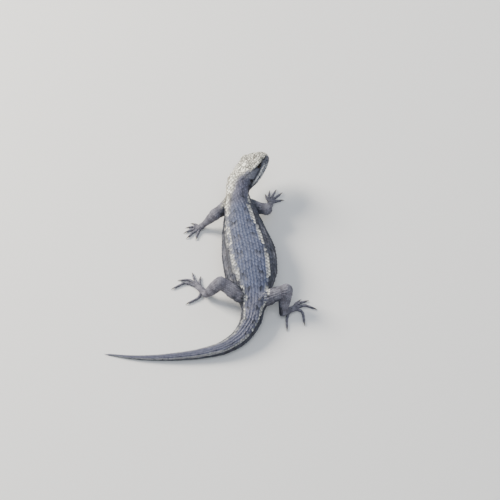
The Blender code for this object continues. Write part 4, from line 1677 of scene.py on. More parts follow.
class Skin:
    """The one skin over head, body, tail and legs, which replaces the solids' flesh."""

    head_steps = 256
    body_steps = 128
    tail_steps = 64
    body_from = 16.0
    tail_from = 76.0
    head_pitch = 0.135
    body_pitch = 0.62
    rest_height = 0.12
    rows = 26  # rings along a leg's part
    limb_sides = 40
    sole_sides = 36
    toe_sides = 18
    least_inset = 0.03  # depth of the skin under the solids' surface at the snout
    flattened = np.array((1.0, 1.0, 0.2))  # nearness counts mostly in plan

    def __init__(self, body: Body, shields: Shields, markings: Markings) -> None:
        """Makes the trunk's shell, whose points and colours the rest is matched with.

        Args:
            body: the forms.
            shields: the head's plates.
            markings: the colours.
        """
        self.body = body
        self.shields = shields
        self.markings = markings
        self.trunk = self.trunk_shell()
        self.trunk_tree = tree_of(self.trunk.points * self.flattened)

    def rings(self) -> list[tuple[float, int]]:
        """Where the trunk's rings lie.

        Returns:
            Each ring's distance from the snout's tip and how many points it has.
        """
        snout = 2.2 * np.linspace(0, 1, 25)[1:] ** 1.7
        head = np.arange(2.32, self.body_from, self.head_pitch)
        torso = np.arange(self.body_from, self.tail_from, self.body_pitch)
        tail = np.arange(self.tail_from, self.body.trunk.length - 0.15, self.body_pitch)
        return [(s, steps) for part, steps in (((*snout, *head), self.head_steps), (torso, self.body_steps),
                                               (tail, self.tail_steps)) for s in part]

    def trunk_shell(self) -> Shell:
        """Lays rings over the head, body and tail.

        Returns:
            Their shell.
        """
        trunk = self.body.trunk
        rings = self.rings()
        columns = []
        for at, steps in rings:
            fine, arcs = trunk.arcs(at)
            around = np.linspace(0, arcs[-1], steps // 2 + 1)
            turns = np.interp(around, arcs, fine)
            columns.append((np.full(steps, at), np.concatenate((turns, -turns[-2:0:-1])),
                            np.concatenate((around, -around[-2:0:-1])), np.full(steps, arcs[-1])))
        s, turn, arc, half = (np.concatenate(column) for column in zip(*columns))
        points, shades = self.trunk_surface(s, turn, arc, half)
        above = np.abs(arc) < 0.6 + self.markings.stripe_line(s, arc > 0)
        self.trunk_above = np.concatenate(([True], above, [True]))
        middle, back = (x[0] for x in trunk.axis(np.array([trunk.length]))[:2])
        points = np.vstack((trunk.head.place(np.zeros((1, 3))), points, middle + trunk.point * back))
        shades = np.vstack((shades[:1], shades, shades[-1:]))
        return Shell("trunk", points, ring_faces([steps for _, steps in rings]), shades)

    def trunk_surface(self, s: Array, turn: Array, arc: Array, half: Array) -> tuple[Array, Array]:
        """Skin of the trunk, sunk by the coat's depth and rounded into the legs.

        Args:
            s: distances from the snout's tip.
            turn: angles round from the midline of the back.
            arc: distances round from it.
            half: half the distance round the body there.

        Returns:
            The points and their colours.
        """
        trunk = self.body.trunk
        form = trunk.form(s, turn)
        push, _ = self.body.rounding(trunk, form)
        sunk = self.least_inset + (trunk.inset - self.least_inset) * fade(s, 1.0, 15.0)
        shades = self.markings.trunk(s, arc, half, form)
        lift = push - sunk - self.folds(s, arc, half)
        near = s < PLATES_TO
        relief, _, bright = self.shields.read(form[near])
        lift[near] += relief
        shades[near] = trunk.head.openings_darkened(form[near], shades[near] * bright[:, None])
        return form + trunk.normals(s, turn) * lift[:, None], shades

    @staticmethod
    def folds(s: Array, arc: Array, half: Array) -> Array:
        """Works out the folds before the shoulder and the vent's slit.

        Args:
            s: distances from the snout's tip.
            arc: distances round from the midline of the back.
            half: half the distance round the body there.

        Returns:
            How far the skin sinks.
        """
        away = np.abs(arc)
        first = 0.32 * bell(s, 19.6 + 0.35 * (away - 8), 0.6) * fade(away, 6.2, 8.2)
        second = 0.2 * bell(s, 16.6 + 0.25 * (away - 9), 0.5) * fade(away, 8.0, 9.8)
        return first + second + 0.5 * bell(s, VENT_AT, 0.4) * fade(away / half, 0.82, 0.9)

    def part_shell(self, form: Part, spots: Array, sides: int) -> Shell:
        """Lays rings over a leg's length, a sole or a toe.

        Args:
            form: the part.
            spots: where its rings lie along it, its ends among them.
            sides: how many points each ring has.

        Returns:
            Its shell.
        """
        around = 2 * np.pi * np.arange(sides) / sides
        at, turn = (x.ravel() for x in np.meshgrid(spots[1:-1], around, indexing="ij"))
        at = np.concatenate((spots[:1], at, spots[-1:]))
        turn = np.concatenate(([0.0], turn, [0.0]))
        points = form.form(at, turn)
        push, _ = self.body.rounding(form, points)
        push[[0, -1]] = 0
        points = points + form.outward(at, turn) * (push - form.inset)[:, None]
        return Shell(form.name, points, ring_faces([sides] * (len(spots) - 2)),
                     self.part_shades(form, at, turn, points))

    def part_shades(self, form: Part, at: Array, turn: Array, points: Array) -> Array:
        """Colours of a leg's part, passing into the body's where it leaves it.

        Args:
            form: the part.
            at: distances along it.
            turn: angles round from its top.
            points: the places themselves.

        Returns:
            A colour for each place.
        """
        shades = self.markings.limb_tone(at / form.span, turn, points, form.band)
        if not isinstance(form, LimbLength):
            return shades
        near, apart = nearest_in(self.trunk_tree, points * self.flattened)
        away = self.body.trunk.distance(points)
        share = np.where(self.trunk_above[near], 1 - fade(apart, 0.55, 0.95), 1 - fade(away, 0.1, 0.9))
        return lerp(shades, self.trunk.shades[near], share)

    def shells(self) -> list[Shell]:
        """Makes every closed shell that the skin is joined from.

        Returns:
            The shells, the trunk's first.
        """
        made = [self.trunk]
        for form in self.body.lengths:
            first, last = form.radii[0], form.radii[-1]
            curve = crowded(13)
            spots = np.concatenate((-first * (1 - curve[:7] * 2), np.linspace(0, form.span, self.rows)[1:-1],
                                    form.span + last * (curve[6:] * 2 - 1)))
            made.append(self.part_shell(form, spots, self.limb_sides))
        for form in self.body.soles:
            made.append(self.part_shell(form, form.span * crowded(self.rows), self.sole_sides))
        for form in self.body.digits:
            spots = form.span * np.concatenate((np.linspace(0, 0.9, self.rows), (0.94, 0.97, 0.99, 1.0)))
            made.append(self.part_shell(form, spots, self.toe_sides))
        return made

    def build(self, finish: Material) -> Piece:
        """Joins the shells into one skin and colours it.

        Args:
            finish: its material.

        Returns:
            The skin.
        """
        shells = self.shells()
        group = bpy.data.collections.new("shells")
        bpy.context.scene.collection.children.link(group)
        skin = linked("skin", shells[0].mesh())
        others = [bpy.data.objects.new("shell_" + shell.name, shell.mesh()) for shell in shells[1:]]
        for shell in others:
            group.objects.link(shell)
        join = skin.modifiers.new("Join", "BOOLEAN")
        join.operation, join.solver = "UNION", "MANIFOLD"
        join.operand_type, join.collection = "COLLECTION", group
        graph = bpy.context.evaluated_depsgraph_get()
        whole = bpy.data.meshes.new_from_object(skin.evaluated_get(graph))
        skin.modifiers.clear()
        skin.data = whole
        for shell in others:
            bpy.data.objects.remove(shell)
        bpy.data.collections.remove(group)
        raise_over(whole, self.rest_height * MM)
        places = read_points(whole) / MM + SKETCH_ORIGIN
        found, _ = nearest_in(tree_of(np.vstack([shell.points for shell in shells])), places)
        store(whole, "shade", "FLOAT_COLOR", np.vstack([shell.shades for shell in shells])[found])
        store(whole, "horn", "FLOAT", self.horn(places))
        whole.shade_smooth()
        whole.materials.clear()
        whole.materials.append(finish)
        return skin

    def horn(self, places: Array) -> Array:
        """Finds the head's horny plates.

        Args:
            places: points of the skin.

        Returns:
            How far each lies on a plate, 0 to 1.
        """
        head = self.body.trunk.head
        near = head.local(places)[:, 0] < 13.0
        near &= np.linalg.norm(places - np.array(head.snout), axis=1) < 16.0
        horn = np.zeros(len(places))
        horn[near] = self.shields.read(places[near])[1]
        return horn


# Scales


class ScaleForm(Enum):
    """The kinds of scale."""

    KEELED = "keeled"
    SPINY = "spiny"
    LIMB = "limb"
    TOE = "toe"
    SMOOTH = "smooth"
    BROW = "brow"
    BEAD = "bead"


@dataclass(frozen=True)
class ScaleShape:
    """One kind of scale, a unit long and wide, with its root at the origin and its point towards +X."""

    outline: tuple  # place along, half width
    stations: tuple = (0.0, 0.2, 0.42, 0.62, 0.8, 0.92)
    columns: tuple = (-1.0, -0.6, -0.2, 0.0, 0.2, 0.6, 1.0)
    sunk: float = 0.05
    lift: float = 0.12
    dome: float = 0.07
    keel: float = 0.13
    thickness: float = 0.05
    arch: float = 0.03  # how far its sides bend down round the body
    crease: float = math.radians(48)  # edges sharper than this are shaded sharp

    def build(self, name: str) -> Piece:
        """Makes the scale as a closed mesh that knows where on the leaf each point lies.

        Args:
            name: the object's name.

        Returns:
            The object, which isn't in the scene.
        """
        count, rows = len(self.columns), len(self.stations)
        points = [(x, c * float(eased(self.outline, x)), self.height(x, c))
                  for x in self.stations for c in self.columns]
        points.append((1.0, 0.0, self.height(1.0, 0.0)))
        points.append((0.45, 0.0, self.lift * 0.45 - self.sunk - self.thickness))
        tip, under = len(points) - 2, len(points) - 1
        faces = [(r * count + i, (r + 1) * count + i, (r + 1) * count + i + 1, r * count + i + 1)
                 for r in range(rows - 1) for i in range(count - 1)]
        last = (rows - 1) * count
        faces.extend((last + i, tip, last + i + 1) for i in range(count - 1))
        right = [(r + 1) * count + count - 1 for r in range(rows - 1)]
        rim = [*range(count), *right, tip, *(r * count for r in range(rows - 1, 0, -1))]
        faces.extend((rim[i], rim[(i + 1) % len(rim)], under) for i in range(len(rim)))
        mesh = mesh_of(name, np.array(points), faces)
        store(mesh, "leaf", "FLOAT_VECTOR", np.array([(p[0], p[1] + 0.5, 0.0) for p in points]))
        mesh.shade_smooth()
        mesh.set_sharp_from_angle(angle=self.crease)
        return bpy.data.objects.new(name, mesh)

    def height(self, along: float, across: float) -> float:
        """Works out the scale's face.

        Args:
            along: place along it, 0 to 1.
            across: place across it, -1 to 1.

        Returns:
            Its height over its root's level.
        """
        body = math.sin(math.pi * min(max(along, 0.06), 0.94)) ** 0.6
        keel = self.keel * (0.35 + 0.65 * along) * max(0.0, 1 - abs(across) / 0.3)
        bent = self.arch * (across * float(eased(self.outline, along)) * 2) ** 2
        return self.lift * along - self.sunk + self.dome * (1 - across ** 2) * body + keel - bent


POINTED = ((0, 0.3), (0.2, 0.46), (0.42, 0.5), (0.62, 0.44), (0.78, 0.28), (0.9, 0.1), (1, 0))
NARROW = ((0, 0.3), (0.2, 0.44), (0.42, 0.48), (0.62, 0.38), (0.8, 0.2), (0.92, 0.07), (1, 0))
ROUNDED = ((0, 0.3), (0.2, 0.47), (0.5, 0.5), (0.7, 0.46), (0.85, 0.33), (0.95, 0.16), (1, 0))
BEADED = ((0, 0.18), (0.12, 0.36), (0.35, 0.49), (0.6, 0.5), (0.82, 0.38), (0.95, 0.18), (1, 0))
PLAIN = {"columns": (-1.0, -0.5, 0.0, 0.5, 1.0), "stations": (0.0, 0.2, 0.5, 0.75, 0.88, 0.96)}
BEAD_STATIONS = (0.0, 0.12, 0.35, 0.6, 0.82, 0.95)
SCALE_SHAPES = {
    ScaleForm.KEELED: ScaleShape(POINTED, lift=0.1, keel=0.055, dome=0.05),
    ScaleForm.SPINY: ScaleShape(NARROW, lift=0.18, keel=0.12, arch=0.08),
    ScaleForm.LIMB: ScaleShape(POINTED, lift=0.1, keel=0.09, arch=0.09),
    ScaleForm.TOE: ScaleShape(ROUNDED, **PLAIN, lift=0.05, dome=0.04, keel=0.05, arch=0.19),
    ScaleForm.SMOOTH: ScaleShape(ROUNDED, **PLAIN, lift=0.1, keel=0.0, dome=0.06, sunk=0.02, arch=0.02),
    ScaleForm.BROW: ScaleShape(ROUNDED, **PLAIN, lift=0.12, keel=0.06, dome=0.16, arch=0.06),
    ScaleForm.BEAD: ScaleShape(BEADED, BEAD_STATIONS, PLAIN["columns"], sunk=0.08, lift=0.0, dome=0.22,
                               keel=0.0, arch=0.1),
}


@dataclass
class Growth:
    """Where scales grow and how each is laid."""

    place: Array  # on or near the skin, in sketching millimetres
    lie: Array  # towards the scale's point
    size: Array  # length, width and height
    shade: Array  # on the left half
    right_shade: Array
    root: Array  # place on the unwrap of the skin

    def pick(self, chosen: Array) -> "Growth":
        """Only the chosen scales."""
        return Growth(*(getattr(self, f.name)[chosen] for f in fields(self)))

    @staticmethod
    def joined(parts: list["Growth"]) -> "Growth":
        """Several growths as one."""
        return Growth(*(np.concatenate([getattr(part, f.name) for part in parts]) for f in fields(Growth)))


class ScaleSetter:
    """Sets one kind of scale over the skin with Geometry Nodes and gives back plain mesh."""

    steepest = 0.62  # how far a scale's lie may leave the skin, as a sine
    furthest = 0.9  # how far from the skin a root may have been laid out
    lowest = 0.01  # how near to the floor a scale may come

    def __init__(self, skin: Piece) -> None:
        """Prepares the search over the skin and the node tree.

        Args:
            skin: the finished skin.
        """
        self.tree = BVHTree.FromObject(skin, bpy.context.evaluated_depsgraph_get())
        self.group = self.make_group()

    def make_group(self) -> bpy.types.NodeTree:
        """Builds the tree that stands a scale on every root.

        Returns:
            The node group.
        """
        group = bpy.data.node_groups.new("set_scales", "GeometryNodeTree")
        face = group.interface
        face.new_socket("Roots", in_out="INPUT", socket_type="NodeSocketGeometry")
        for name, kind in (("Scale", "Object"), ("Finish", "Material"), ("Size", "Float"),
                           ("Ruffle", "Float"), ("Patch", "Float"), ("Seed", "Int")):
            face.new_socket(name, in_out="INPUT", socket_type="NodeSocket" + kind)
        face.new_socket("Scales", in_out="OUTPUT", socket_type="NodeSocketGeometry")

        def add(kind: str, settings: dict, **links: object) -> Socket:
            """Adds a node.

            Args:
                kind: the node's type.
                settings: its own properties.
                **links: values or sockets for its inputs, by identifier.

            Returns:
                Its first output.
            """
            node = group.nodes.new(kind)
            for key, value in settings.items():
                setattr(node, key, value)
            sockets = {s.identifier: s for s in node.inputs}
            for key, value in links.items():
                if isinstance(value, Socket):
                    group.links.new(value, sockets[key])
                else:
                    sockets[key].default_value = value
            return node.outputs[0]

        def named(name: str) -> Socket:
            """A vector that the roots or the scales carry."""
            return add("GeometryNodeInputNamedAttribute", {"data_type": "FLOAT_VECTOR"}, Name=name)

        def scaled(vector: Socket, factor: Socket) -> Socket:
            """A vector times a number."""
            return add("ShaderNodeVectorMath", {"operation": "SCALE"}, Vector=vector, Scale=factor)

        given = group.nodes.new("NodeGroupInput").outputs
        turn = add("FunctionNodeAxesToRotation", {"primary_axis": "Z", "secondary_axis": "X"},
                   **{"Primary Axis": named("out"), "Secondary Axis": named("lie")})
        stray = add("FunctionNodeRandomValue", {"data_type": "FLOAT_VECTOR"}, Min=(-1, -1, -1), Max=(1, 1, 1),
                    Seed=given["Seed"])
        stray = add("FunctionNodeEulerToRotation", {}, Euler=scaled(stray, given["Ruffle"]))
        turn = add("FunctionNodeRotateRotation", {"rotation_space": "LOCAL"}, Rotation=turn,
                   **{"Rotate By": stray})
        shape = group.nodes.new("GeometryNodeObjectInfo")
        group.links.new(given["Scale"], shape.inputs["Object"])
        stood = add("GeometryNodeInstanceOnPoints", {}, Points=given["Roots"],
                    Instance=shape.outputs["Geometry"], Rotation=turn,
                    Scale=scaled(named("size"), given["Size"]))
        real = add("GeometryNodeRealizeInstances", {}, Geometry=stood)
        where = add("ShaderNodeVectorMath", {"operation": "ADD"}, Vector=named("root"),
                    Vector_001=scaled(named("leaf"), given["Patch"]))
        mapped = add("GeometryNodeStoreNamedAttribute", {"data_type": "FLOAT2", "domain": "CORNER"},
                     Geometry=real, Name=BAKE_MAP, Value=where)
        dressed = add("GeometryNodeSetMaterial", {}, Geometry=mapped, Material=given["Finish"])
        group.links.new(dressed, group.nodes.new("NodeGroupOutput").inputs[0])
        return group

    def seated(self, growth: Growth) -> tuple[Growth, Array]:
        """Moves scales onto the skin.

        Args:
            growth: the scales, in sketching millimetres.

        Returns:
            Those that lie near enough, in metres, and the skin's outward directions there.
        """
        found = [self.tree.find_nearest(Vector(place)) for place in metres(growth.place)]
        near = np.array([hit[3] <= self.furthest * MM for hit in found])
        growth = growth.pick(near)
        growth.place = np.array([hit[0] for hit in found])[near]
        return growth, np.array([hit[1] for hit in found])[near]

    def laid(self, growth: Growth, out: Array, stand_off: float) -> tuple[Growth, Array]:
        """Lays scales along the skin under their tips.

        Args:
            growth: the scales, on the skin.
            out: the skin's outward directions.
            stand_off: how far a tip may stand off the skin, as a share of the scale's length.

        Returns:
            Those that neither stand on end nor stand off, and their outward directions.
        """
        flat = np.abs((unit(growth.lie) * out).sum(1)) < self.steepest
        growth, out = growth.pick(flat), out[flat]
        lie = along_surface(growth.lie, out)
        reach = growth.size[:, :1] * MM
        found = [self.tree.find_nearest(Vector(tip)) for tip in growth.place + lie * reach]
        growth.lie = unit(lie + unit(np.array([hit[0] for hit in found]) - growth.place))
        out = along_surface(out, growth.lie)
        close = np.array([hit[3] for hit in found]) < stand_off * reach[:, 0]
        return growth.pick(close), out[close]

    def set(self, name: str, growth: Growth, form: ScaleForm, finish: Material, ruffle: float = 0.05,
            stand_off: float = 0.3) -> Piece:
        """Stands scales on their roots.

        Args:
            name: the piece's name.
            growth: where they grow.
            form: the kind of scale.
            finish: their material.
            ruffle: how far each may stray from its lie, in radians.
            stand_off: how far a tip may stand off the skin, as a share of the scale's length.

        Returns:
            The piece, as plain mesh.
        """
        growth, out = self.laid(*self.seated(growth), stand_off)
        roots = bpy.data.meshes.new(name + "_roots")
        roots.from_pydata(growth.place.tolist(), [], [])
        unwrap = np.column_stack((growth.root, np.zeros(len(growth.root))))
        for key, values in (("out", out), ("lie", growth.lie), ("size", growth.size * MM), ("root", unwrap)):
            store(roots, key, "FLOAT_VECTOR", values)
        store(roots, "shade", "FLOAT_COLOR", growth.shade)
        store(roots, "right_shade", "FLOAT_COLOR", growth.right_shade)
        shape = SCALE_SHAPES[form].build(name + "_shape")
        piece = linked(name, roots)
        setter = piece.modifiers.new("Scales", "NODES")
        setter.node_group = self.group
        given = {"Scale": shape, "Finish": finish, "Size": 1.0, "Ruffle": ruffle,
                 "Patch": BAKE_PATCH, "Seed": SEED}
        for item in self.group.interface.items_tree:
            if item.name in given:
                setter[item.identifier] = given[item.name]
        graph = bpy.context.evaluated_depsgraph_get()
        mesh = bpy.data.meshes.new_from_object(piece.evaluated_get(graph), preserve_all_data_layers=True,
                                               depsgraph=graph)
        piece.modifiers.clear()
        piece.data = mesh
        bpy.data.objects.remove(shape)
        for spare in ("out", "lie", "size", "root"):
            if spare in mesh.attributes:
                mesh.attributes.remove(mesh.attributes[spare])
        raise_over(mesh, self.lowest * MM)
        return piece


class Coat:
    """The lizard's scales, laid out in staggered lengthwise rows over every form."""

    # Distance between neighbouring rows round the body, along its length.
    across = ((2, 0.5), (8, 0.58), (13, 0.78), (17, 0.98), (22, 1.08), (30, 1.16), (45, 1.25), (62, 1.22),
              (70, 1.12), (78, 1.05), (90, 0.85), (105, 0.66), (120, 0.46), (134, 0.3))
    along_ratio = 1.08
    cover_length = 1.66  # a scale's size over the distance between rows
    cover_width = 1.48
    cover_height = 1.3
    belly_from = 0.68
    wander = 0.13  # how far a scale may stray from its row, as a share of the rows' distance
    tail_from = 71.0
    head_to = 16.5
    part_size = (1.62, 1.44, 1.25)  # the same for a leg's scales
    lid_rings = ((1.12, 30, 0.25), (1.36, 32, 0.29), (1.65, 34, 0.33), (1.98, 36, 0.37))  # ring, count, size
    # Distance back, distance round, length and width of each brow scale.
    brow_scales = ((4.35, 4.05, 1.0, 0.5), (5.1, 4.4, 1.15, 0.52), (5.95, 4.62, 1.25, 0.54),
                   (6.85, 4.7, 1.25, 0.54), (7.75, 4.68, 1.2, 0.52), (8.6, 4.6, 1.1, 0.5),
                   (9.4, 4.5, 1.0, 0.5))
    ear_scales = ((-0.95, 0.65), (-0.5, 0.8), (0.0, 0.85), (0.5, 0.8), (0.95, 0.65))  # height, length

    def __init__(self, body: Body, skin: Skin) -> None:
        """Keeps what the coat follows.

        Args:
            body: the lizard's form.
            skin: the maker of its skin, built already.
        """
        self.body = body
        self.skin = skin
        self.head_tree = tree_of(skin.trunk.points)
        self.draw = np.random.default_rng(SEED)

    def trunk_rows(self) -> list[Array]:
        """Lays out the rows of the head's rear, body and tail.

        Returns:
            Each scale's distance from the snout's tip, distance round, half the distance round, and turn.
        """
        trunk = self.body.trunk
        columns = []
        at, row, edge = 2.0, 0, self.belly_from
        while at < trunk.length - 0.4:
            step = float(eased(self.across, at))
            fine, arcs = trunk.arcs(at)
            half = arcs[-1]
            count = step * np.arange(row % 2, half / step + 1, 2)
            above, below = count[count < edge * half], half - count[count < (1 - edge) * half + 0.4 * step]
            arc = np.concatenate((above, -above[above > 0], below, -below[below < half]))
            arc = arc + self.wander * step * self.draw.uniform(-1, 1, len(arc)) * (np.abs(arc) < edge * half)
            turn = np.sign(arc) * np.interp(np.abs(arc), arcs, fine)
            columns.append((np.full(len(arc), at), arc, np.full(len(arc), half), turn))
            at += 0.5 * step * self.along_ratio
            row += 1
        return [np.concatenate(column) for column in zip(*columns)]

    def trunk_growth(self) -> tuple[Growth, Array, Array]:
        """Grows the scales of the head's rear, body and tail.

        Returns:
            The growth, each scale's distance from the snout's tip, and its share of half the distance round.
        """
        trunk = self.body.trunk
        s, arc, half, turn = self.trunk_rows()
        form = trunk.form(s, turn)
        stretch = np.linalg.norm(trunk.form(s + 0.1, turn) - trunk.form(s - 0.1, turn), axis=1) / 0.2
        push, least = self.body.rounding(trunk, form)
        out = trunk.normals(s, turn)
        place = form + out * (push - trunk.inset)[:, None]
        slit = (np.abs(s - VENT_AT) < 0.3) & (np.abs(arc) / half > 0.84)
        kept = (least > -0.3) & ~self.bare(form, s) & ~slit & (stretch > 0.15)
        s, arc, half, turn, place, out, stretch = (x[kept] for x in (s, arc, half, turn, place, out, stretch))
        stretch = np.clip(stretch, 0.65, 1.6)
        share = np.abs(arc) / half
        slope = np.sign(arc) * 0.32 * swell(share, 0.12, 0.75) * between(s, 18, 30, 66, 78)
        lie = along_surface(trunk.axis(s)[1], out)
        side = np.cross(out, lie)
        lie = lie * np.cos(slope)[:, None] + side * np.sin(slope)[:, None]
        step = eased(self.across, s)
        small = 1 - 0.12 * fade(share, 0.3, 0.6)
        jitter = 1 + 0.05 * self.draw.standard_normal((len(s), 3))
        width = self.cover_width * (1 + 0.1 * (share > self.belly_from)) * stretch ** 0.4
        size = np.stack((self.cover_length * stretch, width, np.full(len(s), self.cover_height)), 1)
        tip = s + 0.45 * step * self.cover_length
        mottled = 1 + 0.11 * self.draw.standard_normal((len(s), 1))
        markings = self.skin.markings
        left, right = (mottled * markings.trunk(tip, arc + x * step, half, place + x * step[:, None] * side)
                       for x in (-0.4, 0.4))
        return Growth(place, lie, size * jitter * (small * step)[:, None], np.clip(left, 0, 1),
                      np.clip(right, 0, 1), trunk.unwrapped(s, turn)), s, share

    def bare(self, points: Array, s: Array) -> Array:
        """Finds places that carry plates, lids or openings instead of scales.

        Args:
            points: places on the body.
            s: their distances from the snout's tip.

        Returns:
            Whether each is bare.
        """
        head = self.body.trunk.head
        local = head.local(points)
        near = s < PLATES_TO
        cover = np.zeros(len(points))
        cover[near] = self.skin.shields.read(points[near])[1]
        bare = cover > 0.5 + 0.42 * fade(s, 10.5, 12)
        bare |= (np.abs(local[:, 2]) < 0.75) & (local[:, 0] < head.mouth_end)
        for side in SIDES:
            bare |= (head.eye_ring(local, side) < 1.85) | (head.pit_ring(local, side, head.ear) < 1.15)
        return bare & near

    def lid_growth(self) -> Growth:
        """Grows rings of small bead scales round each eye.

        Returns:
            The growth.
        """
        head = self.body.trunk.head
        place, lie, size = [], [], []
        for side in SIDES:
            outward, along, upward = head.eye_axes(side)
            for ring, count, grain in self.lid_rings:
                angle = 2 * np.pi * (np.arange(count) + 0.5 * (round(ring * 10) % 2)) / count
                a = ring * head.lid_opening[0] * np.cos(angle)
                u = ring * head.lid_opening[1] * np.sin(angle)
                across = np.hypot(a / head.eye_stretch, u)
                dome = np.sqrt(np.clip(float(head.lid_size(ring)) ** 2 - across ** 2, 0.05, None))
                place.append(head.place(head.eye_middle(side) + a[:, None] * along + u[:, None] * upward
                                        + dome[:, None] * outward))
                round_way = -np.sin(angle)[:, None] * along + np.cos(angle)[:, None] * upward
                lie.append(np.array([head.turned(way) for way in round_way]))
                size.append(np.tile((grain, grain * 0.95, grain * 0.8), (count, 1)))
        return self.on_head(np.vstack(place), np.vstack(lie), np.vstack(size))

    def brow_growth(self) -> Growth:
        """Grows the long scales that overlap along each brow, over the eye.

        Returns:
            The growth.
        """
        trunk = self.body.trunk
        place, lie, size = [], [], []
        for side in SIDES:
            for s, round_to, length, width in self.brow_scales:
                fine, arcs = trunk.arcs(s)
                turn = np.full(2, side * float(np.interp(round_to, arcs, fine)))
                root, ahead = trunk.form(np.array([s, s + 0.6]), turn, plain=True)
                place.append(root)
                lie.append(ahead - root)
                size.append((length, width, 0.62))
        return self.on_head(np.array(place), np.array(lie), np.array(size))

    def ear_growth(self) -> Growth:
        """Grows pointed scales that lean back over the front of each ear.

        Returns:
            The growth.
        """
        head = self.body.trunk.head
        middle, height, half_length, _ = head.ear
        place, lie, size = [], [], []
        for side in SIDES:
            for up, length in self.ear_scales:
                back = middle - half_length * math.sqrt(max(0.1, 1 - (up / 1.25) ** 2)) - 0.35
                place.append(head.place(np.array((back, side * (head.ear_out + 0.05), height + up))))
                lie.append(head.turned(np.array((1.0, side * 0.1, 0.05 * up))))
                size.append((length, 0.62, 0.7))
        return self.on_head(np.array(place), np.array(lie), np.array(size))

    def on_head(self, place: Array, lie: Array, size: Array) -> Growth:
        """Gives scales on the head the skin's own colours and their places on the unwrap.

        Args:
            place: their roots.
            lie: the directions of their points.
            size: their lengths, widths and heights.

        Returns:
            The growth.
        """
        head = self.body.trunk.head
        local = head.local(place)
        root = self.body.trunk.unwrapped(local[:, 0] * head.size, np.arctan2(local[:, 1], local[:, 2]))
        shade = self.skin.trunk.shades[nearest_in(self.head_tree, place)[0]]
        return Growth(place, lie, size, shade, shade, root)

    def part_growth(self, form: Part, step: float, start: float, end: float, chart: int,
                    charts: tuple[float, float], finer: float = 0.0) -> Growth:
        """Scales of a leg's length, a sole or a toe.

        Args:
            form: the part.
            step: distance between neighbouring rows.
            start: where the scales begin along it.
            end: where they end.
            chart: which strip of the unwrap is this part's.
            charts: the lowest edge of the strips and the height of each.
            finer: by what share the rows draw closer towards the end.

        Returns:
            The growth.
        """
        columns = []
        spot, row = start, 0
        while spot < end:
            pitch = step * (1 - finer * min(max(spot / form.span, 0), 1))
            count = max(6, 2 * round(2 * np.pi * form.girth(spot) / pitch / 2))
            column = np.arange(row % 2, count, 2)
            here = np.full(len(column), spot)
            columns.append((here, 2 * np.pi * column / count, np.full(len(column), pitch)))
            spot += 0.5 * pitch * self.along_ratio
            row += 1
        at, turn, pitches = (np.concatenate(column) for column in zip(*columns))
        place = form.form(at, turn)
        push, least = self.body.rounding(form, place)
        out = form.outward(at, turn)
        kept = least > -0.12
        at, turn, pitches, place, out, push = (x[kept] for x in (at, turn, pitches, place, out, push))
        place = place + out * (push - form.inset)[:, None]
        jitter = 1 + 0.06 * self.draw.standard_normal((len(at), 3))
        shade = self.skin.part_shades(form, at + step, turn, place)
        shade = np.clip(shade * (1 + 0.08 * self.draw.standard_normal((len(at), 1))), 0, 1)
        low, high = charts
        root = np.stack((0.02 + 0.95 * np.clip((at + 2) / (form.span + 4), 0, 1),
                         low + high * (chart + 0.1 + 0.7 * np.mod(turn, 2 * np.pi) / (2 * np.pi))), 1)
        return Growth(place, along_surface(form.axis(at)[1], out),
                      pitches[:, None] * np.array(self.part_size) * jitter, shade, shade, root)

    def pieces(self, setter: ScaleSetter) -> list[tuple[Piece, str]]:
        """Builds every piece of the coat.

        Args:
            setter: what sets the scales.

        Returns:
            The pieces, each with a slot's name.
        """
        hide = ScaleFinish("lizard_scales").material()
        smooth = ScaleFinish("lizard_belly_scales", keel_gain=0.0, pale_loss=0.12, gloss=0.42).material()
        bead = ScaleFinish("lizard_bead_scales", keel_gain=0.1).material()
        growth, s, share = self.trunk_growth()
        under, tail, head = share > self.belly_from, s >= self.tail_from, s < self.head_to
        body = ~head & ~tail
        made = [(setter.set("scales_" + word, grown, form, finish, **how), slot)
                for word, slot, grown, form, finish, how in (
            ("head", "crown_hide", growth.pick(head & ~under), ScaleForm.KEELED, hide, {}),
            ("throat", "crown_hide", growth.pick(head & under), ScaleForm.SMOOTH, smooth, {}),
            ("lids", "crown_hide", self.lid_growth(), ScaleForm.BEAD, bead, {"ruffle": 0.0}),
            ("brows", "crown_hide", self.brow_growth(), ScaleForm.BROW, bead, {"ruffle": 0.02}),
            ("ears", "crown_hide", self.ear_growth(), ScaleForm.SPINY, hide, {"stand_off": 1.0}),
            ("back", "back_hide", growth.pick(body & ~under), ScaleForm.KEELED, hide, {}),
            ("belly", "back_hide", growth.pick(body & under), ScaleForm.SMOOTH, smooth, {}),
            ("tail", "back_hide", growth.pick(tail), ScaleForm.SPINY, hide, {}),
        )]
        for word, first, steps in (("forelegs", 0, (0.7, 0.62)), ("hindlegs", 4, (0.8, 0.7))):
            parts = [self.part_growth(form, steps[i % 2], -1.2, form.span + 0.25 * form.radii[-1], first + i,
                                      (0.23, 0.027), 0.34 * (i % 2))
                     for i, form in enumerate(self.body.lengths[first:first + 4])]
            grown = Growth.joined(parts)
            made.append((setter.set("scales_" + word, grown, ScaleForm.LIMB, hide), "limb_hide"))
        for word, forms, step, first, kind in (("feet", self.body.soles, 0.54, 0, ScaleForm.LIMB),
                                               ("toes", self.body.digits, 0.42, 4, ScaleForm.TOE)):
            parts = [self.part_growth(form, step, 0.15, form.span - 0.2, first + i, (0.01, 0.0085))
                     for i, form in enumerate(forms)]
            made.append((setter.set("scales_" + word, Growth.joined(parts), kind, hide, 0.02), "limb_hide"))
        return made


# Eyes and claws


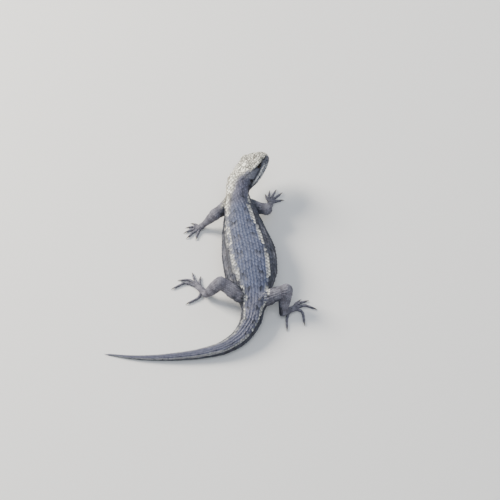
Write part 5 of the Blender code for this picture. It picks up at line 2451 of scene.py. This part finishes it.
@dataclass(frozen=True)
class Eye:
    """One eyeball with its cornea, finer than the solid that it replaces."""

    side: int
    head: Head = field(default_factory=Head)
    rings: int = 40
    sides: int = 56
    bulge: float = 0.05

    @property
    def name(self) -> str:
        """The solid's name."""
        return "eye_left" if self.side > 0 else "eye_right"

    def build(self, finish: Material) -> Piece:
        """Makes the eyeball, its pole at the pupil.

        Args:
            finish: its material.

        Returns:
            The eyeball.
        """
        outward, along, upward = (self.head.turned(a) for a in self.head.eye_axes(self.side))
        middle = self.head.place(self.head.eye_middle(self.side))
        polar = np.pi * (np.arange(1, self.rings) / self.rings) ** 1.25
        turn = 2 * np.pi * np.arange(self.sides) / self.sides
        p, t = (x.ravel() for x in np.meshgrid(polar, turn, indexing="ij"))
        p, t = np.concatenate(([0.0], p, [np.pi])), np.concatenate(([0.0], t, [0.0]))
        radius = self.head.eyeball * self.head.size * (1 + self.bulge * bell(p, 0, 0.6))
        ways = (np.cos(p)[:, None] * outward + (np.sin(p) * np.cos(t))[:, None] * along
                + (np.sin(p) * np.sin(t))[:, None] * upward)
        faces = ring_faces([self.sides] * (self.rings - 1))
        return finished(self.name + "_ball", middle + radius[:, None] * ways, faces, "gaze", p, finish)


@dataclass(frozen=True)
class Claws:
    """All twenty claws, each a curved cone that grows from its toe's tip."""

    digits: tuple
    length: float = 1.5
    width: float = 0.33
    rings: int = 12
    sides: int = 12
    bow: float = 0.24
    lowest_line: float = 0.09
    lowest: float = 0.02

    def build(self, finish: Material) -> Piece:
        """Makes the claws as one mesh.

        Args:
            finish: their material.

        Returns:
            The claws.
        """
        points, faces, shares = [], [], []
        for digit in self.digits:
            shape, share = self.claw(digit)
            corners = ring_faces([self.sides] * self.rings)
            faces.extend(tuple(i + len(points) for i in face) for face in corners)
            points.extend(shape)
            shares.extend(share)
        return finished("claws", np.array(points), faces, "along", np.array(shares), finish)

    def claw(self, digit: Digit) -> tuple[Array, Array]:
        """Shapes one claw, from its sunk root to its point.

        Args:
            digit: the toe that carries it.

        Returns:
            Its points and their places along it.
        """
        middle, onward, left, upward = (x[0] for x in digit.axis(np.array([digit.span])))
        u = np.linspace(0, 1, self.rings + 2)
        arch = self.bow * np.sin(np.pi * np.clip(u * 1.05, 0, 1)) + (0.1 - middle[2]) * u ** 2
        line = middle + onward * ((u * 1.2 - 0.2) * self.length)[:, None] + UP * arch[:, None]
        line[:, 2] = np.maximum(line[:, 2], self.lowest_line)
        radius = self.width * np.interp(u, (0, 0.1, 0.35, 0.75, 1), (0.6, 1.0, 0.85, 0.4, 0.0))
        turn = 2 * np.pi * np.arange(self.sides) / self.sides
        ways = np.cos(turn)[:, None] * left * 0.72 + np.sin(turn)[:, None] * upward * 1.12
        rings = line[1:-1, None] + radius[1:-1, None, None] * ways
        points = np.vstack((line[:1], rings.reshape(-1, 3), line[-1:]))
        points[:, 2] = np.maximum(points[:, 2], self.lowest)
        return points, np.concatenate(([0.0], np.repeat(u[1:-1], self.sides), [1.0]))


def finished(name: str, points: Array, faces: list, key: str, values: Array, finish: Material) -> Piece:
    """Makes a smooth piece that carries one number at each point.

    Args:
        name: the piece's name.
        points: its points.
        faces: its faces.
        key: the number's name.
        values: the numbers.
        finish: its material.

    Returns:
        The piece.
    """
    mesh = mesh_of(name, metres(points), faces)
    store(mesh, key, "FLOAT", values)
    mesh.shade_smooth()
    mesh.materials.append(finish)
    return linked(name, mesh)


# Studio


@dataclass(frozen=True)
class Lamp:
    """A soft square light that faces the model."""

    name: str
    place: tuple[float, float, float]
    size: float
    watts: float
    colour: tuple[float, float, float]

    def light(self, target: Vector) -> None:
        """Adds the light to the scene.

        Args:
            target: what it faces.
        """
        data = bpy.data.lights.new(self.name, "AREA")
        data.size, data.energy, data.color = self.size, self.watts, self.colour
        lamp = linked(self.name, data)
        lamp.location = self.place
        lamp.rotation_euler = (target - lamp.location).to_track_quat("-Z", "Y").to_euler()


@dataclass(frozen=True)
class Studio:
    """A pale floor, soft light and the camera at the photograph's angle."""

    target: tuple[float, float, float] = (0.01505, 0.00611, 0.0)
    distance: float = 0.85
    elevation: float = math.radians(60)
    frame_width: float = 0.196
    sensor: float = 36.0
    floor_size: float = 4.0
    sky: tuple = (0.78, 0.86, 1.0, 1.0)
    sky_strength: float = 0.4
    lamps: tuple[Lamp, ...] = (
        Lamp("key", (-0.6, 0.35, 0.43), 0.32, 15.0, (1.0, 0.95, 0.86)),
        Lamp("sky", (0.1, -0.2, 1.0), 0.9, 5.0, (0.84, 0.91, 1.0)),
        Lamp("rim", (0.5, 0.5, 0.4), 0.5, 1.5, (0.9, 0.94, 1.0)),
    )

    def build(self) -> Piece:
        """Makes the floor, the lights, the sky and the camera.

        Returns:
            The floor.
        """
        half = self.floor_size / 2
        mesh = bpy.data.meshes.new("studio_floor")
        corners = [(-half, -half, 0), (half, -half, 0), (half, half, 0), (-half, half, 0)]
        mesh.from_pydata(corners, [], [(0, 1, 2, 3)])
        mesh.materials.append(FloorFinish().material())
        floor = linked("studio_floor", mesh)
        target = Vector(self.target)
        for lamp in self.lamps:
            lamp.light(target)
        world = bpy.data.worlds.new("studio_sky")
        world.use_nodes = True
        backdrop = world.node_tree.nodes["Background"].inputs
        backdrop["Color"].default_value, backdrop["Strength"].default_value = self.sky, self.sky_strength
        bpy.context.scene.world = world
        data = bpy.data.cameras.new("camera")
        data.sensor_width, data.lens = self.sensor, self.sensor * self.distance / self.frame_width
        data.clip_start, data.clip_end = 0.01, 20.0
        camera = linked("camera", data)
        look = Vector((0.0, math.cos(self.elevation), -math.sin(self.elevation)))
        camera.location = target - look * self.distance
        camera.rotation_euler = (math.pi / 2 - self.elevation, 0.0, 0.0)
        bpy.context.scene.camera = camera
        return floor


FLESH = ("head", "neck", "torso", "tail_base", "tail_middle", "tail_tip",
         "upper_arm_left", "forearm_left", "hand_left", "thigh_left", "shin_left", "foot_left",
         "upper_arm_right", "forearm_right", "hand_right", "thigh_right", "shin_right", "foot_right")


def report(piece: Piece) -> None:
    """Rides a finished piece on the body and logs its size.

    Args:
        piece: the piece.
    """
    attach(piece, "root")
    log.info("%s: %d faces", piece.name, len(piece.data.polygons))


def main() -> None:
    """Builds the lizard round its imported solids."""
    logging.basicConfig(level=logging.INFO, format="%(name)s: %(message)s")
    Studio().build()
    body = Body()
    maker = Skin(body, Shields(body.trunk), Markings())
    skin = maker.build(SkinFinish().material())
    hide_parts(*FLESH)
    report(skin)
    for piece, slot in Coat(body, maker).pieces(ScaleSetter(skin)):
        report(piece)
    finish = EyeFinish().material()
    for eye in (Eye(side) for side in SIDES):
        ball = eye.build(finish)
        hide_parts(eye.name)
        report(ball)
    report(Claws(tuple(body.digits)).build(ClawFinish().material()))


if __name__ == "__main__":
    main()
